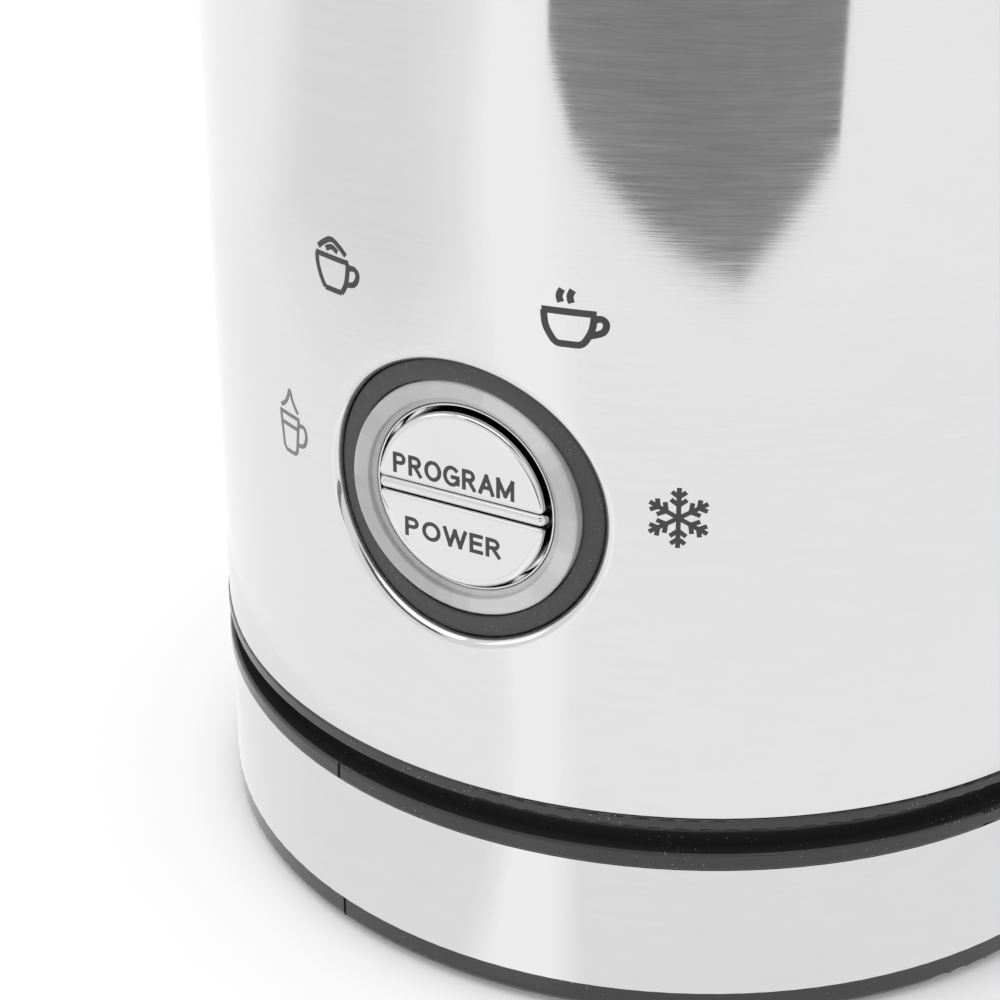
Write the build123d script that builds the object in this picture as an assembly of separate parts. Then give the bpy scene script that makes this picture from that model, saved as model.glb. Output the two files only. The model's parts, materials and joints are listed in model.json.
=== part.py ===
"""Cordless electric milk frother: a brushed steel jug on a round power base.

Millimetres, +Z up. The origin is at the centre of the base, on the surface that its feet stand on.
The button faces -Y, the handle points to +X and the spout to -X.
"""
import os
from math import cos, radians, sin, sqrt

from build123d import *

# ---- Driving dimensions -------------------------------------------------------------------------

# Body
BODY_RADIUS = 52.5
SHELL_HEIGHT = 135.0
STEEL_WALL = 0.8
LIP_PROUD = 0.15            # the black lips stand this far out of the steel
CUP_GAP = 8.5               # from the outside of the jug to the outside of the cup
CUP_WALL = 0.8

# Heights of the stack, from the table up
FOOT_STANDOFF = 0.8
FOOT_RIM_HEIGHT = 2.7
BAND_HEIGHT = 15.1
BASE_LIP_HEIGHT = 2.0
NECK_HEIGHT = 2.7
JUG_LIP_HEIGHT = 1.5
RIM_HEIGHT = 7.0

# Clearances
SLIP = 0.1                  # between pieces that slip together
SEAT = 0.02                 # between pieces pressed or glued together
RUNNING = 0.05              # radial, between a turning or sliding piece and its bore
MOVING = 0.3                # between pieces that pass each other
REST_GAP = 0.1              # under the standing jug

# Moulded walls of the base and of the jug's bottom
PLASTIC_WALL = 1.8
PLATE_THICK = 2.4
SKIRT_HEIGHT = 3.0
PLATFORM_WIDTH = 5.4
NECK_DEPTH = 3.1
NECK_ARC = 1.5
EDGE_EASE = 0.4
LIP_EASE = 0.35
TOWER_EASE = 0.8
BLADE_WIDTH = 4.8            # connector blades under the base's connector
BLADE_THICK = 0.8
BLADE_LENGTH = 7.0
BLADE_OFFSET = 5.0
BLADE_PITCH = 7.0
SOCKET_MOUTH = 0.8
SOCKET_FLANGE = 4.0
END_WALL = 0.5               # closed end of the motor's cap
LEAD_TAB = 2.4
LEAD_TAB_REACH = 3.0
SEAL_BODY = 0.8
FIN_THICK = 1.0
KNOB_EASE = 1.4
KNOB_SCREW_DEPTH = 8.0
NEAR = 0.5                   # tolerances for picking edges
SAME = 0.01
SEAM_WIDTH = 0.4
SEAM_DEPTH = 0.25
SEAM_ANGLE = -107.35        # mould parting line, measured from +X
FOOT_PAD_RADIUS = 5.0
FOOT_PAD_RECESS = 0.8
FOOT_PAD_INSET = 10.5
PILLAR_INSET = 14.5
PILLAR_RADIUS = 3.5

# Screws
SCREW_RADIUS = 1.5
SCREW_HEAD_RADIUS = 2.7
SCREW_HEAD_HEIGHT = 1.6
SMALL_SCREW_RADIUS = 1.0
SMALL_HEAD_RADIUS = 1.9
SMALL_HEAD_HEIGHT = 1.2
SCREW_CLEARANCE = 0.2
RECESS_DEPTH = 0.9

# Power connector
TOWER_RADIUS = 11.0
TOWER_HEIGHT = 14.4
CONNECTOR_FLANGE = 4.0
FLANGE_THICK = 2.0
COLLAR_HEIGHT = 1.4
COLLAR_WIDTH = 3.3
GROOVE_RADIUS = 7.4
GROOVE_WIDTH = 1.7
GROOVE_DEPTH = 8.0
CONTACT_WALL = 0.5
PIN_RADIUS = 1.4
PIN_BORE_RADIUS = 2.6
SOCKET_CLEARANCE = 0.4
SOCKET_WALL = 4.1
CARRIER_THICK = 1.6
CARRIER_OVERLAP = 0.7

# Cord gland
CORD_RADIUS = 3.2
GLAND_NECK_RADIUS = 4.2
GLAND_FLANGE_RADIUS = 5.6
GLAND_FLANGE_THICK = 1.7
GLAND_TAIL = 6.0
CLAMP_SETBACK = 12.0
CLAMP_LENGTH = 6.0
CLAMP_WIDTH = 18.0
CLAMP_THICK = 4.0
CLAMP_SCREW_OFFSET = 6.3

# Button group on the front of the jug
BUTTON_HEIGHT = 30.9        # above the lower edge of the shell
RECESS_RADIUS = 15.0
ROLLED_EDGE = 0.6
COLLAR_WALL = 0.8
COLLAR_SETBACK = 4.0
GASKET_SETBACK = 1.1
LIGHT_RING_RADIUS = 12.2
LIGHT_RING_SETBACK = 1.05
BUTTON_RADIUS = 9.2
BUTTON_SETBACK = 0.8
BUTTON_THICK = 2.3
BUTTON_EDGE = 0.45
BUTTON_SPLIT = 1.5          # distance between the two halves
BAR_WIDTH = 1.1
FRAME_WALL = 0.35
FRAME_SETBACK = 0.95
FRAME_FLOOR_SETBACK = 3.9
FRAME_FLOOR_THICK = 1.0
BUTTON_TRAVEL = 0.6
STEM_RADIUS = 1.5
SWITCH_OFFSET = 4.4
SWITCH_SIZE = 6.0
SWITCH_HEIGHT = 3.0
PLUNGER_RADIUS = 1.75
PLUNGER_OVERLAP = 1.6
PLUNGER_PROUD = 0.8
HOUSING_SETBACK = 5.5
HOUSING_FLANGE = 4.0
HOUSING_THICK = 1.5
BOARD_SETBACK = 8.9
BOARD_THICK = 1.6
BOARD_HALF_HEIGHT = 18.0
BOARD_EDGE = 3.0            # from the board's screws to its sides
LUG_RADIUS = 2.2
LUG_INSET = 0.2
LED_MARGIN = 0.1
LED_HEIGHT = 1.2
LED_CLEARANCE = 0.4

# Drive and heating under the cup
CUP_TO_BOARD = 7.5
HEATER_INSET = 3.0
HEATER_THICK = 3.5
HEATER_HOLE_RADIUS = 15.5
ELEMENT_RADIUS = 28.0
ELEMENT_WIDTH = 6.0
ELEMENT_HEIGHT = 5.0
ELEMENT_SWEEP = 300.0
TERMINAL_RADIUS = 1.2
TERMINAL_LENGTH = 4.0
SENSOR_RADIUS = 4.5
SENSOR_HEIGHT = 6.0
SENSOR_ANGLE = 200
TAB_LENGTH = 3.0
TAB_SPREAD = 3.6
TAB_THICK = 0.8
TAB_GAP = 3.2
SENSOR_CLEARANCE = 1.4
FUSE_RADIUS = 1.8
FUSE_LENGTH = 10.0
BRACKET_TO_ELEMENT = 8.5
BRACKET_THICK = 2.0
BRACKET_ARM = 9.0
STANDOFF_RADIUS = 3.6
STANDOFF_INSET = 18.5
STANDOFF_BORE_DEPTH = 12.0
MOTOR_RADIUS = 12.0
MOTOR_WALL = 0.9
MOTOR_CAP_THICK = 1.5
MOTOR_ABOVE_SOCKET = 1.2
MOTOR_BOSS_RADIUS = 3.2
MOTOR_SCREW_CIRCLE = 8.5
SHAFT_RADIUS = 1.0
ARMATURE_RADIUS = 9.5
ARMATURE_END_GAP = 3.0
DRIVE_RADIUS = 13.0
DRIVE_THICK = 6.5
DRIVE_TO_CUP = 1.2
DRIVE_HUB_DEPTH = 4.0
MAGNET_RADIUS = 3.0
MAGNET_HEIGHT = 3.2
MAGNET_CIRCLE = 8.5

# Power board behind the motor
POWER_BOARD_HEIGHT = 20.0   # above the floor of the bottom cover
POWER_BOARD_WIDTH = 44.0
POWER_BOARD_DEPTH = 22.0
POWER_BOARD_INSET = 14.5
POWER_POST_RADIUS = 2.6
POWER_POST_INSET = 3.5
RELAY_SIZE = (15.0, 10.0, 12.0)
LEAD_RADIUS = 0.6
LEAD_BEND = 1.8
LEAD_RISE = 6.0
LEAD_OFFSET = 4.5

# Whisk
WHISK_PIN_RADIUS = 2.0
PIN_TOP_GAP = 0.5
BUSH_WALL = 1.3
WHISK_FLOOR_GAP = 0.8
HUB_RADIUS = 13.4
HUB_THICK = 4.8
HUB_TUBE_WALL = 2.0
HUB_HEIGHT = 11.5
HUB_CAP = 2.0               # closed top of the hub's tube
COIL_RADIUS = 15.2
COIL_THICK = 2.6

# Handle
HANDLE_REACH = 35.0
HANDLE_DROP = 13.0          # centre of the top arm below the top of the shell
HANDLE_LOW_RISE = 29.0       # centre of the low arm above the bottom of the shell
HANDLE_WIDTH = 22.0
HANDLE_THICK = 11.0
HANDLE_ROUND = 4.6
HANDLE_TOP_BEND = 24.0
HANDLE_LOW_BEND = 18.0
HANDLE_PAD_WIDTH = 27.0
HANDLE_PAD_HEIGHT = 19.0
HANDLE_PAD_THICK = 2.6
HANDLE_SCREW_SPREAD = 12.0
HANDLE_SCREW_LENGTH = 10.0
GRIP_WIDTH = 14.0
GRIP_INLAY = 2.0
GRIP_PROUD = 0.8
GRIP_END_GAP = 27.0

# Rim, spout and lid
RIM_SKIRT = 8.0
CUP_FLANGE = 4.6
RIM_LEDGE = 0.2
LID_SEAT_DEPTH = 2.1
LID_SEAT_WIDTH = 4.6
RIM_TOP_ROUND = 1.2
SPOUT_REACH = 10.5
SPOUT_HALF_WIDTH = 14.0
SPOUT_DROP = 14.0
SPOUT_WALL = 2.0
SPOUT_FLOOR = 1.4           # channel floor above the shell's top
SPOUT_TIP_ROUND = 5.0
SPOUT_TOE_ROUND = 3.0
SPOUT_TOE_REACH = 0.4
SPOUT_ROOT = 4.0              # how far its plan starts inside the body's radius
LID_FLANGE_THICK = 2.0
LID_RISE = 2.8
LID_SKIRT_DEPTH = 8.0
LID_SKIRT_WALL = 2.0
LID_SKIRT_GAP = 1.8
SEAL_HEIGHT = 5.0
SEAL_GAP = 0.2
KNOB_RADIUS = 11.0
KNOB_HEIGHT = 14.0
KNOB_NECK_RADIUS = 6.5

# ---- Derived levels and radii -------------------------------------------------------------------

Z_FOOT = FOOT_STANDOFF
Z_BAND = Z_FOOT + FOOT_RIM_HEIGHT
Z_BASE_LIP = Z_BAND + BAND_HEIGHT
Z_BASE_TOP = Z_BASE_LIP + BASE_LIP_HEIGHT
Z_JUG = Z_BASE_TOP + NECK_HEIGHT
Z_SHELL = Z_JUG + JUG_LIP_HEIGHT
Z_SHELL_TOP = Z_SHELL + SHELL_HEIGHT
Z_RIM_TOP = Z_SHELL_TOP + RIM_HEIGHT
Z_BUTTON = Z_SHELL + BUTTON_HEIGHT
Z_CUP_UNDERSIDE = Z_BUTTON + BOARD_HALF_HEIGHT + CUP_TO_BOARD
Z_CUP_FLOOR = Z_CUP_UNDERSIDE + CUP_WALL
Z_TOWER_TOP = Z_BASE_TOP + TOWER_HEIGHT
Z_COVER_RECESS = Z_JUG + 1.0
Z_COVER_FLOOR = Z_COVER_RECESS + PLATE_THICK
Z_CARRIER = Z_TOWER_TOP + 1.5
Z_SOCKET_TOP = Z_CARRIER + CARRIER_THICK + 2 * SLIP + PLASTIC_WALL
Z_MOTOR = Z_SOCKET_TOP + MOTOR_ABOVE_SOCKET
Z_HEATER = Z_CUP_UNDERSIDE - HEATER_THICK
Z_ELEMENT = Z_HEATER - ELEMENT_HEIGHT
Z_BRACKET = Z_ELEMENT - BRACKET_TO_ELEMENT
Z_DRIVE_TOP = Z_CUP_UNDERSIDE - DRIVE_TO_CUP
Z_POWER_BOARD = Z_COVER_FLOOR + POWER_BOARD_HEIGHT
Z_GLAND = Z_BAND + BAND_HEIGHT / 2
Z_LID_SEAT = Z_RIM_TOP - LID_SEAT_DEPTH

LIP_RADIUS = BODY_RADIUS + LIP_PROUD
SHELL_BORE = BODY_RADIUS - STEEL_WALL
SKIRT_RADIUS = SHELL_BORE - SLIP
SKIRT_BORE = SKIRT_RADIUS - PLASTIC_WALL
NECK_RADIUS = BODY_RADIUS - NECK_DEPTH
DISH_RADIUS = NECK_RADIUS - PLATFORM_WIDTH
CUP_RADIUS = BODY_RADIUS - CUP_GAP
CUP_BORE = CUP_RADIUS - CUP_WALL
RIM_BORE = CUP_RADIUS + RIM_LEDGE
SOCKET_BORE = TOWER_RADIUS + SOCKET_CLEARANCE
SOCKET_RADIUS = SOCKET_BORE + SOCKET_WALL
HEATER_RADIUS = CUP_RADIUS - HEATER_INSET
STANDOFF_CIRCLE = BODY_RADIUS - STANDOFF_INSET
PILLAR_CIRCLE = BODY_RADIUS - PILLAR_INSET
COLLAR_BORE = RECESS_RADIUS - ROLLED_EDGE
BUTTON_FACE = BODY_RADIUS - BUTTON_SETBACK
HOUSING_FRONT = BODY_RADIUS - HOUSING_SETBACK
HOUSING_RADIUS = COLLAR_BORE + HOUSING_FLANGE
BOARD_SCREW_X = HOUSING_RADIUS - LUG_INSET - LUG_RADIUS
BOARD_HALF_WIDTH = BOARD_SCREW_X + BOARD_EDGE
BOARD_FRONT = BODY_RADIUS - BOARD_SETBACK
FRAME_FLOOR = BODY_RADIUS - FRAME_FLOOR_SETBACK
FRAME_RADIUS = BUTTON_RADIUS + SLIP + FRAME_WALL
LED_SIZE = (LIGHT_RING_RADIUS - FRAME_RADIUS) / sqrt(2) - 2 * LED_MARGIN
SWITCH_FRONT = BOARD_FRONT + SWITCH_HEIGHT
PLUNGER_FRONT = SWITCH_FRONT + PLUNGER_PROUD
Z_WHISK = Z_CUP_FLOOR + WHISK_FLOOR_GAP
Z_HUB_BORE_TOP = Z_WHISK + HUB_HEIGHT - HUB_CAP
Z_COIL = Z_WHISK + COIL_THICK
HANDLE_X = BODY_RADIUS + HANDLE_REACH
HANDLE_TOP = Z_SHELL_TOP - HANDLE_DROP
HANDLE_LOW = Z_SHELL + HANDLE_LOW_RISE
HANDLE_HEIGHT = HANDLE_TOP - HANDLE_LOW
LID_RADIUS = RIM_BORE + LID_SEAT_WIDTH - MOVING
LID_SKIRT_RADIUS = CUP_BORE - LID_SKIRT_GAP

FEET_ANGLES = (0, 90, 180, 270)
BASE_SCREW_ANGLES = (45, 135, 225, 315)
STANDOFF_ANGLES = (30, 150, 270)
SEAM_ANGLES = (SEAM_ANGLE, SEAM_ANGLE + 120, SEAM_ANGLE + 240)
LEVELS = (Align.CENTER, Align.CENTER, Align.MIN)


# ---- Helpers ------------------------------------------------------------------------------------

def disc(radius, low, high, x=0.0, y=0.0):
    """A vertical cylinder between two heights."""
    return Pos(x, y, low) * Cylinder(radius, high - low, align=LEVELS)


def ring(radius, bore, low, high, x=0.0, y=0.0):
    """A vertical tube between two heights."""
    return disc(radius, low, high, x, y) - disc(bore, low, high, x, y)


def block(x, y, z):
    """A box between pairs of coordinates."""
    centre = [(low + high) / 2 for low, high in (x, y, z)]
    return Pos(*centre) * Box(x[1] - x[0], y[1] - y[0], z[1] - z[0])


def spin(outline):
    """A solid of revolution about Z from (radius, height) points."""
    wire = Polyline(*[(radius, 0, height) for radius, height in outline], close=True)
    return revolve(make_face(wire), axis=Axis.Z)


def front_disc(radius, back, front, x=0.0, rise=0.0):
    """A cylinder along -Y at the button, between two distances from the jug's axis."""
    return Pos(x, -back, Z_BUTTON + rise) * Rot(90, 0, 0) * Cylinder(radius, front - back, align=LEVELS)


def front_ring(radius, bore, back, front):
    return front_disc(radius, back, front) - front_disc(bore, back, front)


def front_block(half_width, back, front, low, high):
    return block((-half_width, half_width), (-front, -back), (Z_BUTTON + low, Z_BUTTON + high))


def on_circle(radius, angles):
    """Points on a circle about Z."""
    return [(radius * cos(radians(angle)), radius * sin(radians(angle))) for angle in angles]


def screw(radius, length, head_radius, head_height):
    """A pan-head screw with a cross recess: its head's underside at Z = 0, its shank upwards."""
    shank = Cylinder(radius, length, align=LEVELS)
    head = Pos(0, 0, -head_height) * Cylinder(head_radius, head_height, align=LEVELS)
    head = chamfer(head.edges().group_by(Axis.Z)[0], head_height / 3)
    slot = Box(head_radius * 1.2, head_radius * 0.3, RECESS_DEPTH, align=LEVELS)
    cross = Pos(0, 0, -head_height) * (slot + Rot(0, 0, 90) * slot)
    return head + shank - cross


def group(solids):
    """Separate solids that share one node."""
    return Compound(children=list(solids))


def seam_cut(radius, low, high):
    """The small notches that a mould's parting line leaves on an edge."""
    cut = Part()
    for angle in SEAM_ANGLES:
        notch = block((radius - SEAM_DEPTH, radius + 1), (-SEAM_WIDTH / 2, SEAM_WIDTH / 2), (low, high))
        cut += Rot(0, 0, angle) * notch
    return cut


def round_edges(shape, radius):
    """The circular edges of one radius."""
    circles = shape.edges().filter_by(GeomType.CIRCLE)
    return circles.filter_by(lambda edge: abs(edge.radius - radius) < SAME)


def gland_axis(radius, near, far):
    """A cylinder along +Y through the cord gland."""
    return Pos(0, near, Z_GLAND) * Rot(-90, 0, 0) * Cylinder(radius, far - near, align=LEVELS)


# ---- Power base ---------------------------------------------------------------------------------

def base_foot_plate():
    rim_round = 0.7
    plate = disc(BODY_RADIUS, Z_FOOT, Z_BAND)
    plate = fillet(plate.edges().group_by(Axis.Z)[0], rim_round)
    plate += ring(SKIRT_RADIUS, SKIRT_BORE, Z_BAND, Z_BAND + SKIRT_HEIGHT)
    saddle_y = (SKIRT_BORE - CLAMP_SETBACK, SKIRT_BORE - CLAMP_SETBACK + CLAMP_LENGTH)
    plate += block((-CLAMP_WIDTH / 2, CLAMP_WIDTH / 2), saddle_y, (Z_BAND, Z_GLAND))
    plate -= gland_axis(CORD_RADIUS, saddle_y[0], saddle_y[1])
    for x in (-CLAMP_SCREW_OFFSET, CLAMP_SCREW_OFFSET):
        y = sum(saddle_y) / 2
        plate -= disc(SMALL_SCREW_RADIUS + SEAT, Z_BAND, Z_GLAND, x, y)
    for x, y in on_circle(BODY_RADIUS - FOOT_PAD_INSET, FEET_ANGLES):
        plate -= disc(FOOT_PAD_RADIUS + SEAT, Z_FOOT, Z_FOOT + FOOT_PAD_RECESS, x, y)
    for x, y in on_circle(PILLAR_CIRCLE, BASE_SCREW_ANGLES):
        plate -= disc(SCREW_RADIUS + SCREW_CLEARANCE, Z_FOOT, Z_BAND, x, y)
        head_top = Z_FOOT + SCREW_HEAD_HEIGHT
        plate -= disc(SCREW_HEAD_RADIUS + SCREW_CLEARANCE, Z_FOOT, head_top, x, y)
    return plate - seam_cut(BODY_RADIUS, Z_FOOT, Z_BAND)


def rubber_feet():
    spots = on_circle(BODY_RADIUS - FOOT_PAD_INSET, FEET_ANGLES)
    top = Z_FOOT + FOOT_PAD_RECESS
    pads = [disc(FOOT_PAD_RADIUS, 0, top, x, y) for x, y in spots]
    return group([fillet(pad.edges().group_by(Axis.Z)[0], EDGE_EASE) for pad in pads])


def base_band():
    band = ring(BODY_RADIUS, SHELL_BORE, Z_BAND, Z_BASE_LIP)
    return band - gland_axis(GLAND_NECK_RADIUS + SEAT, 0, BODY_RADIUS + 1)


def base_top_plate():
    low = Z_BASE_TOP - PLATE_THICK
    platform = Z_JUG - REST_GAP
    bore = TOWER_RADIUS + SLIP
    collar = bore + COLLAR_WIDTH
    edges = Polyline(
        (NECK_RADIUS, 0, Z_BASE_TOP + NECK_ARC),
        (NECK_RADIUS, 0, platform),
        (DISH_RADIUS + 1, 0, platform),
        (DISH_RADIUS, 0, Z_BASE_TOP),
        (collar + 1, 0, Z_BASE_TOP),
        (collar, 0, Z_BASE_TOP + COLLAR_HEIGHT),
        (bore, 0, Z_BASE_TOP + COLLAR_HEIGHT),
        (bore, 0, low),
        (SKIRT_BORE, 0, low),
        (SKIRT_BORE, 0, Z_BASE_LIP - SKIRT_HEIGHT),
        (SKIRT_RADIUS, 0, Z_BASE_LIP - SKIRT_HEIGHT),
        (SKIRT_RADIUS, 0, Z_BASE_LIP),
        (LIP_RADIUS, 0, Z_BASE_LIP),
        (LIP_RADIUS, 0, Z_BASE_TOP),
        (NECK_RADIUS + NECK_ARC, 0, Z_BASE_TOP),
    )
    sweep_mid = NECK_ARC * (1 - cos(radians(45)))
    cove = ThreePointArc(
        (NECK_RADIUS + NECK_ARC, 0, Z_BASE_TOP),
        (NECK_RADIUS + sweep_mid, 0, Z_BASE_TOP + sweep_mid),
        (NECK_RADIUS, 0, Z_BASE_TOP + NECK_ARC),
    )
    plate = revolve(make_face(edges + cove), axis=Axis.Z)
    lip_edges = round_edges(plate, LIP_RADIUS)
    plate = fillet(lip_edges, EDGE_EASE)
    for x, y in on_circle(PILLAR_CIRCLE, BASE_SCREW_ANGLES):
        plate += ring(PILLAR_RADIUS, SCREW_RADIUS + SEAT, Z_BAND, low, x, y)
    return plate - seam_cut(LIP_RADIUS, Z_BASE_LIP, Z_BASE_TOP)


def base_connector():
    flange_top = Z_BASE_TOP - PLATE_THICK
    flange_low = flange_top - FLANGE_THICK
    tower = disc(TOWER_RADIUS, flange_low, Z_TOWER_TOP)
    tower = fillet(tower.edges().group_by(Axis.Z)[-1], TOWER_EASE)
    housing = tower + disc(TOWER_RADIUS + CONNECTOR_FLANGE, flange_low, flange_top)
    groove_low = Z_TOWER_TOP - GROOVE_DEPTH
    housing -= ring(GROOVE_RADIUS + GROOVE_WIDTH, GROOVE_RADIUS, groove_low, Z_TOWER_TOP)
    return housing - disc(PIN_BORE_RADIUS, groove_low, Z_TOWER_TOP)


def contact_ring():
    low = Z_TOWER_TOP - GROOVE_DEPTH
    bore = GROOVE_RADIUS + SEAT
    return ring(bore + CONTACT_WALL, bore, low, Z_TOWER_TOP - CONTACT_WALL)


def centre_pin():
    low = Z_TOWER_TOP - GROOVE_DEPTH
    pin = disc(PIN_RADIUS, low, Z_TOWER_TOP - 1)
    return fillet(pin.edges().group_by(Axis.Z)[-1], PIN_RADIUS * 0.7)


def base_terminals():
    top = Z_BASE_TOP - PLATE_THICK - FLANGE_THICK
    blade = Box(BLADE_WIDTH, BLADE_THICK, BLADE_LENGTH, align=(Align.CENTER, Align.CENTER, Align.MAX))
    return group([Pos(x, BLADE_OFFSET, top) * blade for x in (-BLADE_PITCH, 0.0, BLADE_PITCH)])


def base_screws():
    shape = screw(SCREW_RADIUS, FOOT_RIM_HEIGHT + 5, SCREW_HEAD_RADIUS, SCREW_HEAD_HEIGHT)
    spots = on_circle(PILLAR_CIRCLE, BASE_SCREW_ANGLES)
    return group([Pos(x, y, Z_FOOT + SCREW_HEAD_HEIGHT) * shape for x, y in spots])


def cord_gland():
    tail = SHELL_BORE - GLAND_TAIL
    outer = gland_axis(GLAND_FLANGE_RADIUS, SHELL_BORE, BODY_RADIUS + GLAND_FLANGE_THICK)
    outer -= disc(BODY_RADIUS, Z_BAND, Z_BASE_LIP)
    inner = gland_axis(GLAND_FLANGE_RADIUS, SHELL_BORE - 2 * GLAND_FLANGE_THICK, SHELL_BORE)
    inner = inner & disc(SKIRT_BORE - SEAT, Z_BAND, Z_BASE_LIP)
    neck = gland_axis(GLAND_NECK_RADIUS, tail, BODY_RADIUS + GLAND_FLANGE_THICK)
    return outer + inner + neck - gland_axis(CORD_RADIUS, 0, BODY_RADIUS + GLAND_FLANGE_THICK + 1)


def cord_clamp():
    near = SKIRT_BORE - CLAMP_SETBACK
    far = near + CLAMP_LENGTH
    bridge = block((-CLAMP_WIDTH / 2, CLAMP_WIDTH / 2), (near, far), (Z_GLAND + SEAT, Z_GLAND + CLAMP_THICK))
    for x in (-CLAMP_SCREW_OFFSET, CLAMP_SCREW_OFFSET):
        bridge -= disc(SMALL_SCREW_RADIUS + SCREW_CLEARANCE, Z_BAND, Z_BASE_LIP, x, (near + far) / 2)
    return bridge - gland_axis(CORD_RADIUS, near, far)


def clamp_screws():
    shape = Rot(180, 0, 0) * screw(SMALL_SCREW_RADIUS, CLAMP_THICK + 4, SMALL_HEAD_RADIUS, SMALL_HEAD_HEIGHT)
    y = SKIRT_BORE - CLAMP_SETBACK + CLAMP_LENGTH / 2
    spots = (-CLAMP_SCREW_OFFSET, CLAMP_SCREW_OFFSET)
    return group([Pos(x, y, Z_GLAND + CLAMP_THICK) * shape for x in spots])


# ---- Jug bottom and its connector ---------------------------------------------------------------

def jug_bottom_cover():
    cover = spin([
        (SOCKET_RADIUS + SLIP, Z_COVER_RECESS),
        (DISH_RADIUS - 1, Z_COVER_RECESS),
        (DISH_RADIUS, Z_JUG),
        (LIP_RADIUS, Z_JUG),
        (LIP_RADIUS, Z_SHELL),
        (SKIRT_RADIUS, Z_SHELL),
        (SKIRT_RADIUS, Z_COVER_FLOOR + SKIRT_HEIGHT),
        (SKIRT_BORE, Z_COVER_FLOOR + SKIRT_HEIGHT),
        (SKIRT_BORE, Z_COVER_FLOOR),
        (SOCKET_RADIUS + SLIP, Z_COVER_FLOOR),
    ])
    lip_edges = round_edges(cover, LIP_RADIUS)
    cover = fillet(lip_edges, LIP_EASE)
    for x, y in on_circle(STANDOFF_CIRCLE, STANDOFF_ANGLES):
        cover -= disc(SCREW_RADIUS + SCREW_CLEARANCE, Z_JUG, Z_COVER_FLOOR, x, y)
        seat = Z_COVER_RECESS + SCREW_HEAD_HEIGHT
        cover -= disc(SCREW_HEAD_RADIUS + SCREW_CLEARANCE, Z_JUG, seat, x, y)
    for x, y in power_post_spots():
        post = ring(POWER_POST_RADIUS, SMALL_SCREW_RADIUS + SEAT, Z_COVER_FLOOR, Z_POWER_BOARD, x, y)
        cover += post
    return cover


def jug_socket():
    pocket = SOCKET_BORE + CARRIER_OVERLAP + SLIP
    pocket_low = Z_CARRIER - SLIP
    pocket_top = Z_CARRIER + CARRIER_THICK + SLIP
    return spin([
        (SOCKET_BORE + SOCKET_MOUTH, Z_COVER_RECESS),
        (SOCKET_RADIUS, Z_COVER_RECESS),
        (SOCKET_RADIUS, Z_COVER_FLOOR),
        (SOCKET_RADIUS + SOCKET_FLANGE, Z_COVER_FLOOR),
        (SOCKET_RADIUS + SOCKET_FLANGE, Z_COVER_FLOOR + FLANGE_THICK),
        (SOCKET_RADIUS, Z_COVER_FLOOR + FLANGE_THICK),
        (SOCKET_RADIUS, Z_SOCKET_TOP),
        (0, Z_SOCKET_TOP),
        (0, pocket_top),
        (pocket, pocket_top),
        (pocket, pocket_low),
        (SOCKET_BORE, pocket_low),
        (SOCKET_BORE, Z_COVER_RECESS + SOCKET_MOUTH),
    ])


def bottom_screws():
    shape = screw(SCREW_RADIUS, 10, SCREW_HEAD_RADIUS, SCREW_HEAD_HEIGHT)
    spots = on_circle(STANDOFF_CIRCLE, STANDOFF_ANGLES)
    return group([Pos(x, y, Z_COVER_RECESS + SCREW_HEAD_HEIGHT) * shape for x, y in spots])


def contact_carrier():
    return disc(SOCKET_BORE + CARRIER_OVERLAP, Z_CARRIER, Z_CARRIER + CARRIER_THICK)


def sleeve_contact():
    bore = GROOVE_RADIUS + SEAT + CONTACT_WALL + MOVING
    return ring(bore + CONTACT_WALL, bore, Z_TOWER_TOP - GROOVE_DEPTH / 2, Z_CARRIER)


def centre_contact():
    bore = PIN_RADIUS + MOVING
    return ring(bore + CONTACT_WALL, bore, Z_TOWER_TOP - GROOVE_DEPTH / 2, Z_CARRIER)


# ---- Jug shell, cup and rim ---------------------------------------------------------------------

def jug_shell():
    shell = ring(BODY_RADIUS, SHELL_BORE, Z_SHELL, Z_SHELL_TOP)
    collar = front_disc(COLLAR_BORE + COLLAR_WALL, BODY_RADIUS - COLLAR_SETBACK, BODY_RADIUS + 1)
    shell += collar & disc(BODY_RADIUS, Z_SHELL, Z_SHELL_TOP)
    shell -= front_disc(COLLAR_BORE, BODY_RADIUS / 2, BODY_RADIUS + 1)
    rim = [edge for edge in shell.edges() if is_recess_rim(edge)]
    shell = fillet(rim, ROLLED_EDGE)
    for y, z in handle_screw_spots():
        hole = Cylinder(SCREW_RADIUS + SCREW_CLEARANCE, BODY_RADIUS + 1, align=LEVELS)
        bore = Pos(0, y, z) * Rot(0, 90, 0) * hole
        shell -= bore
    return shell


def is_recess_rim(edge):
    """True for the edge where the button recess meets the outside of the shell."""
    box = edge.bounding_box()
    spans_recess = all(abs(size - 2 * COLLAR_BORE) < NEAR for size in (box.size.X, box.size.Z))
    return spans_recess and abs(box.min.Y + BODY_RADIUS) < NEAR


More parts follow.
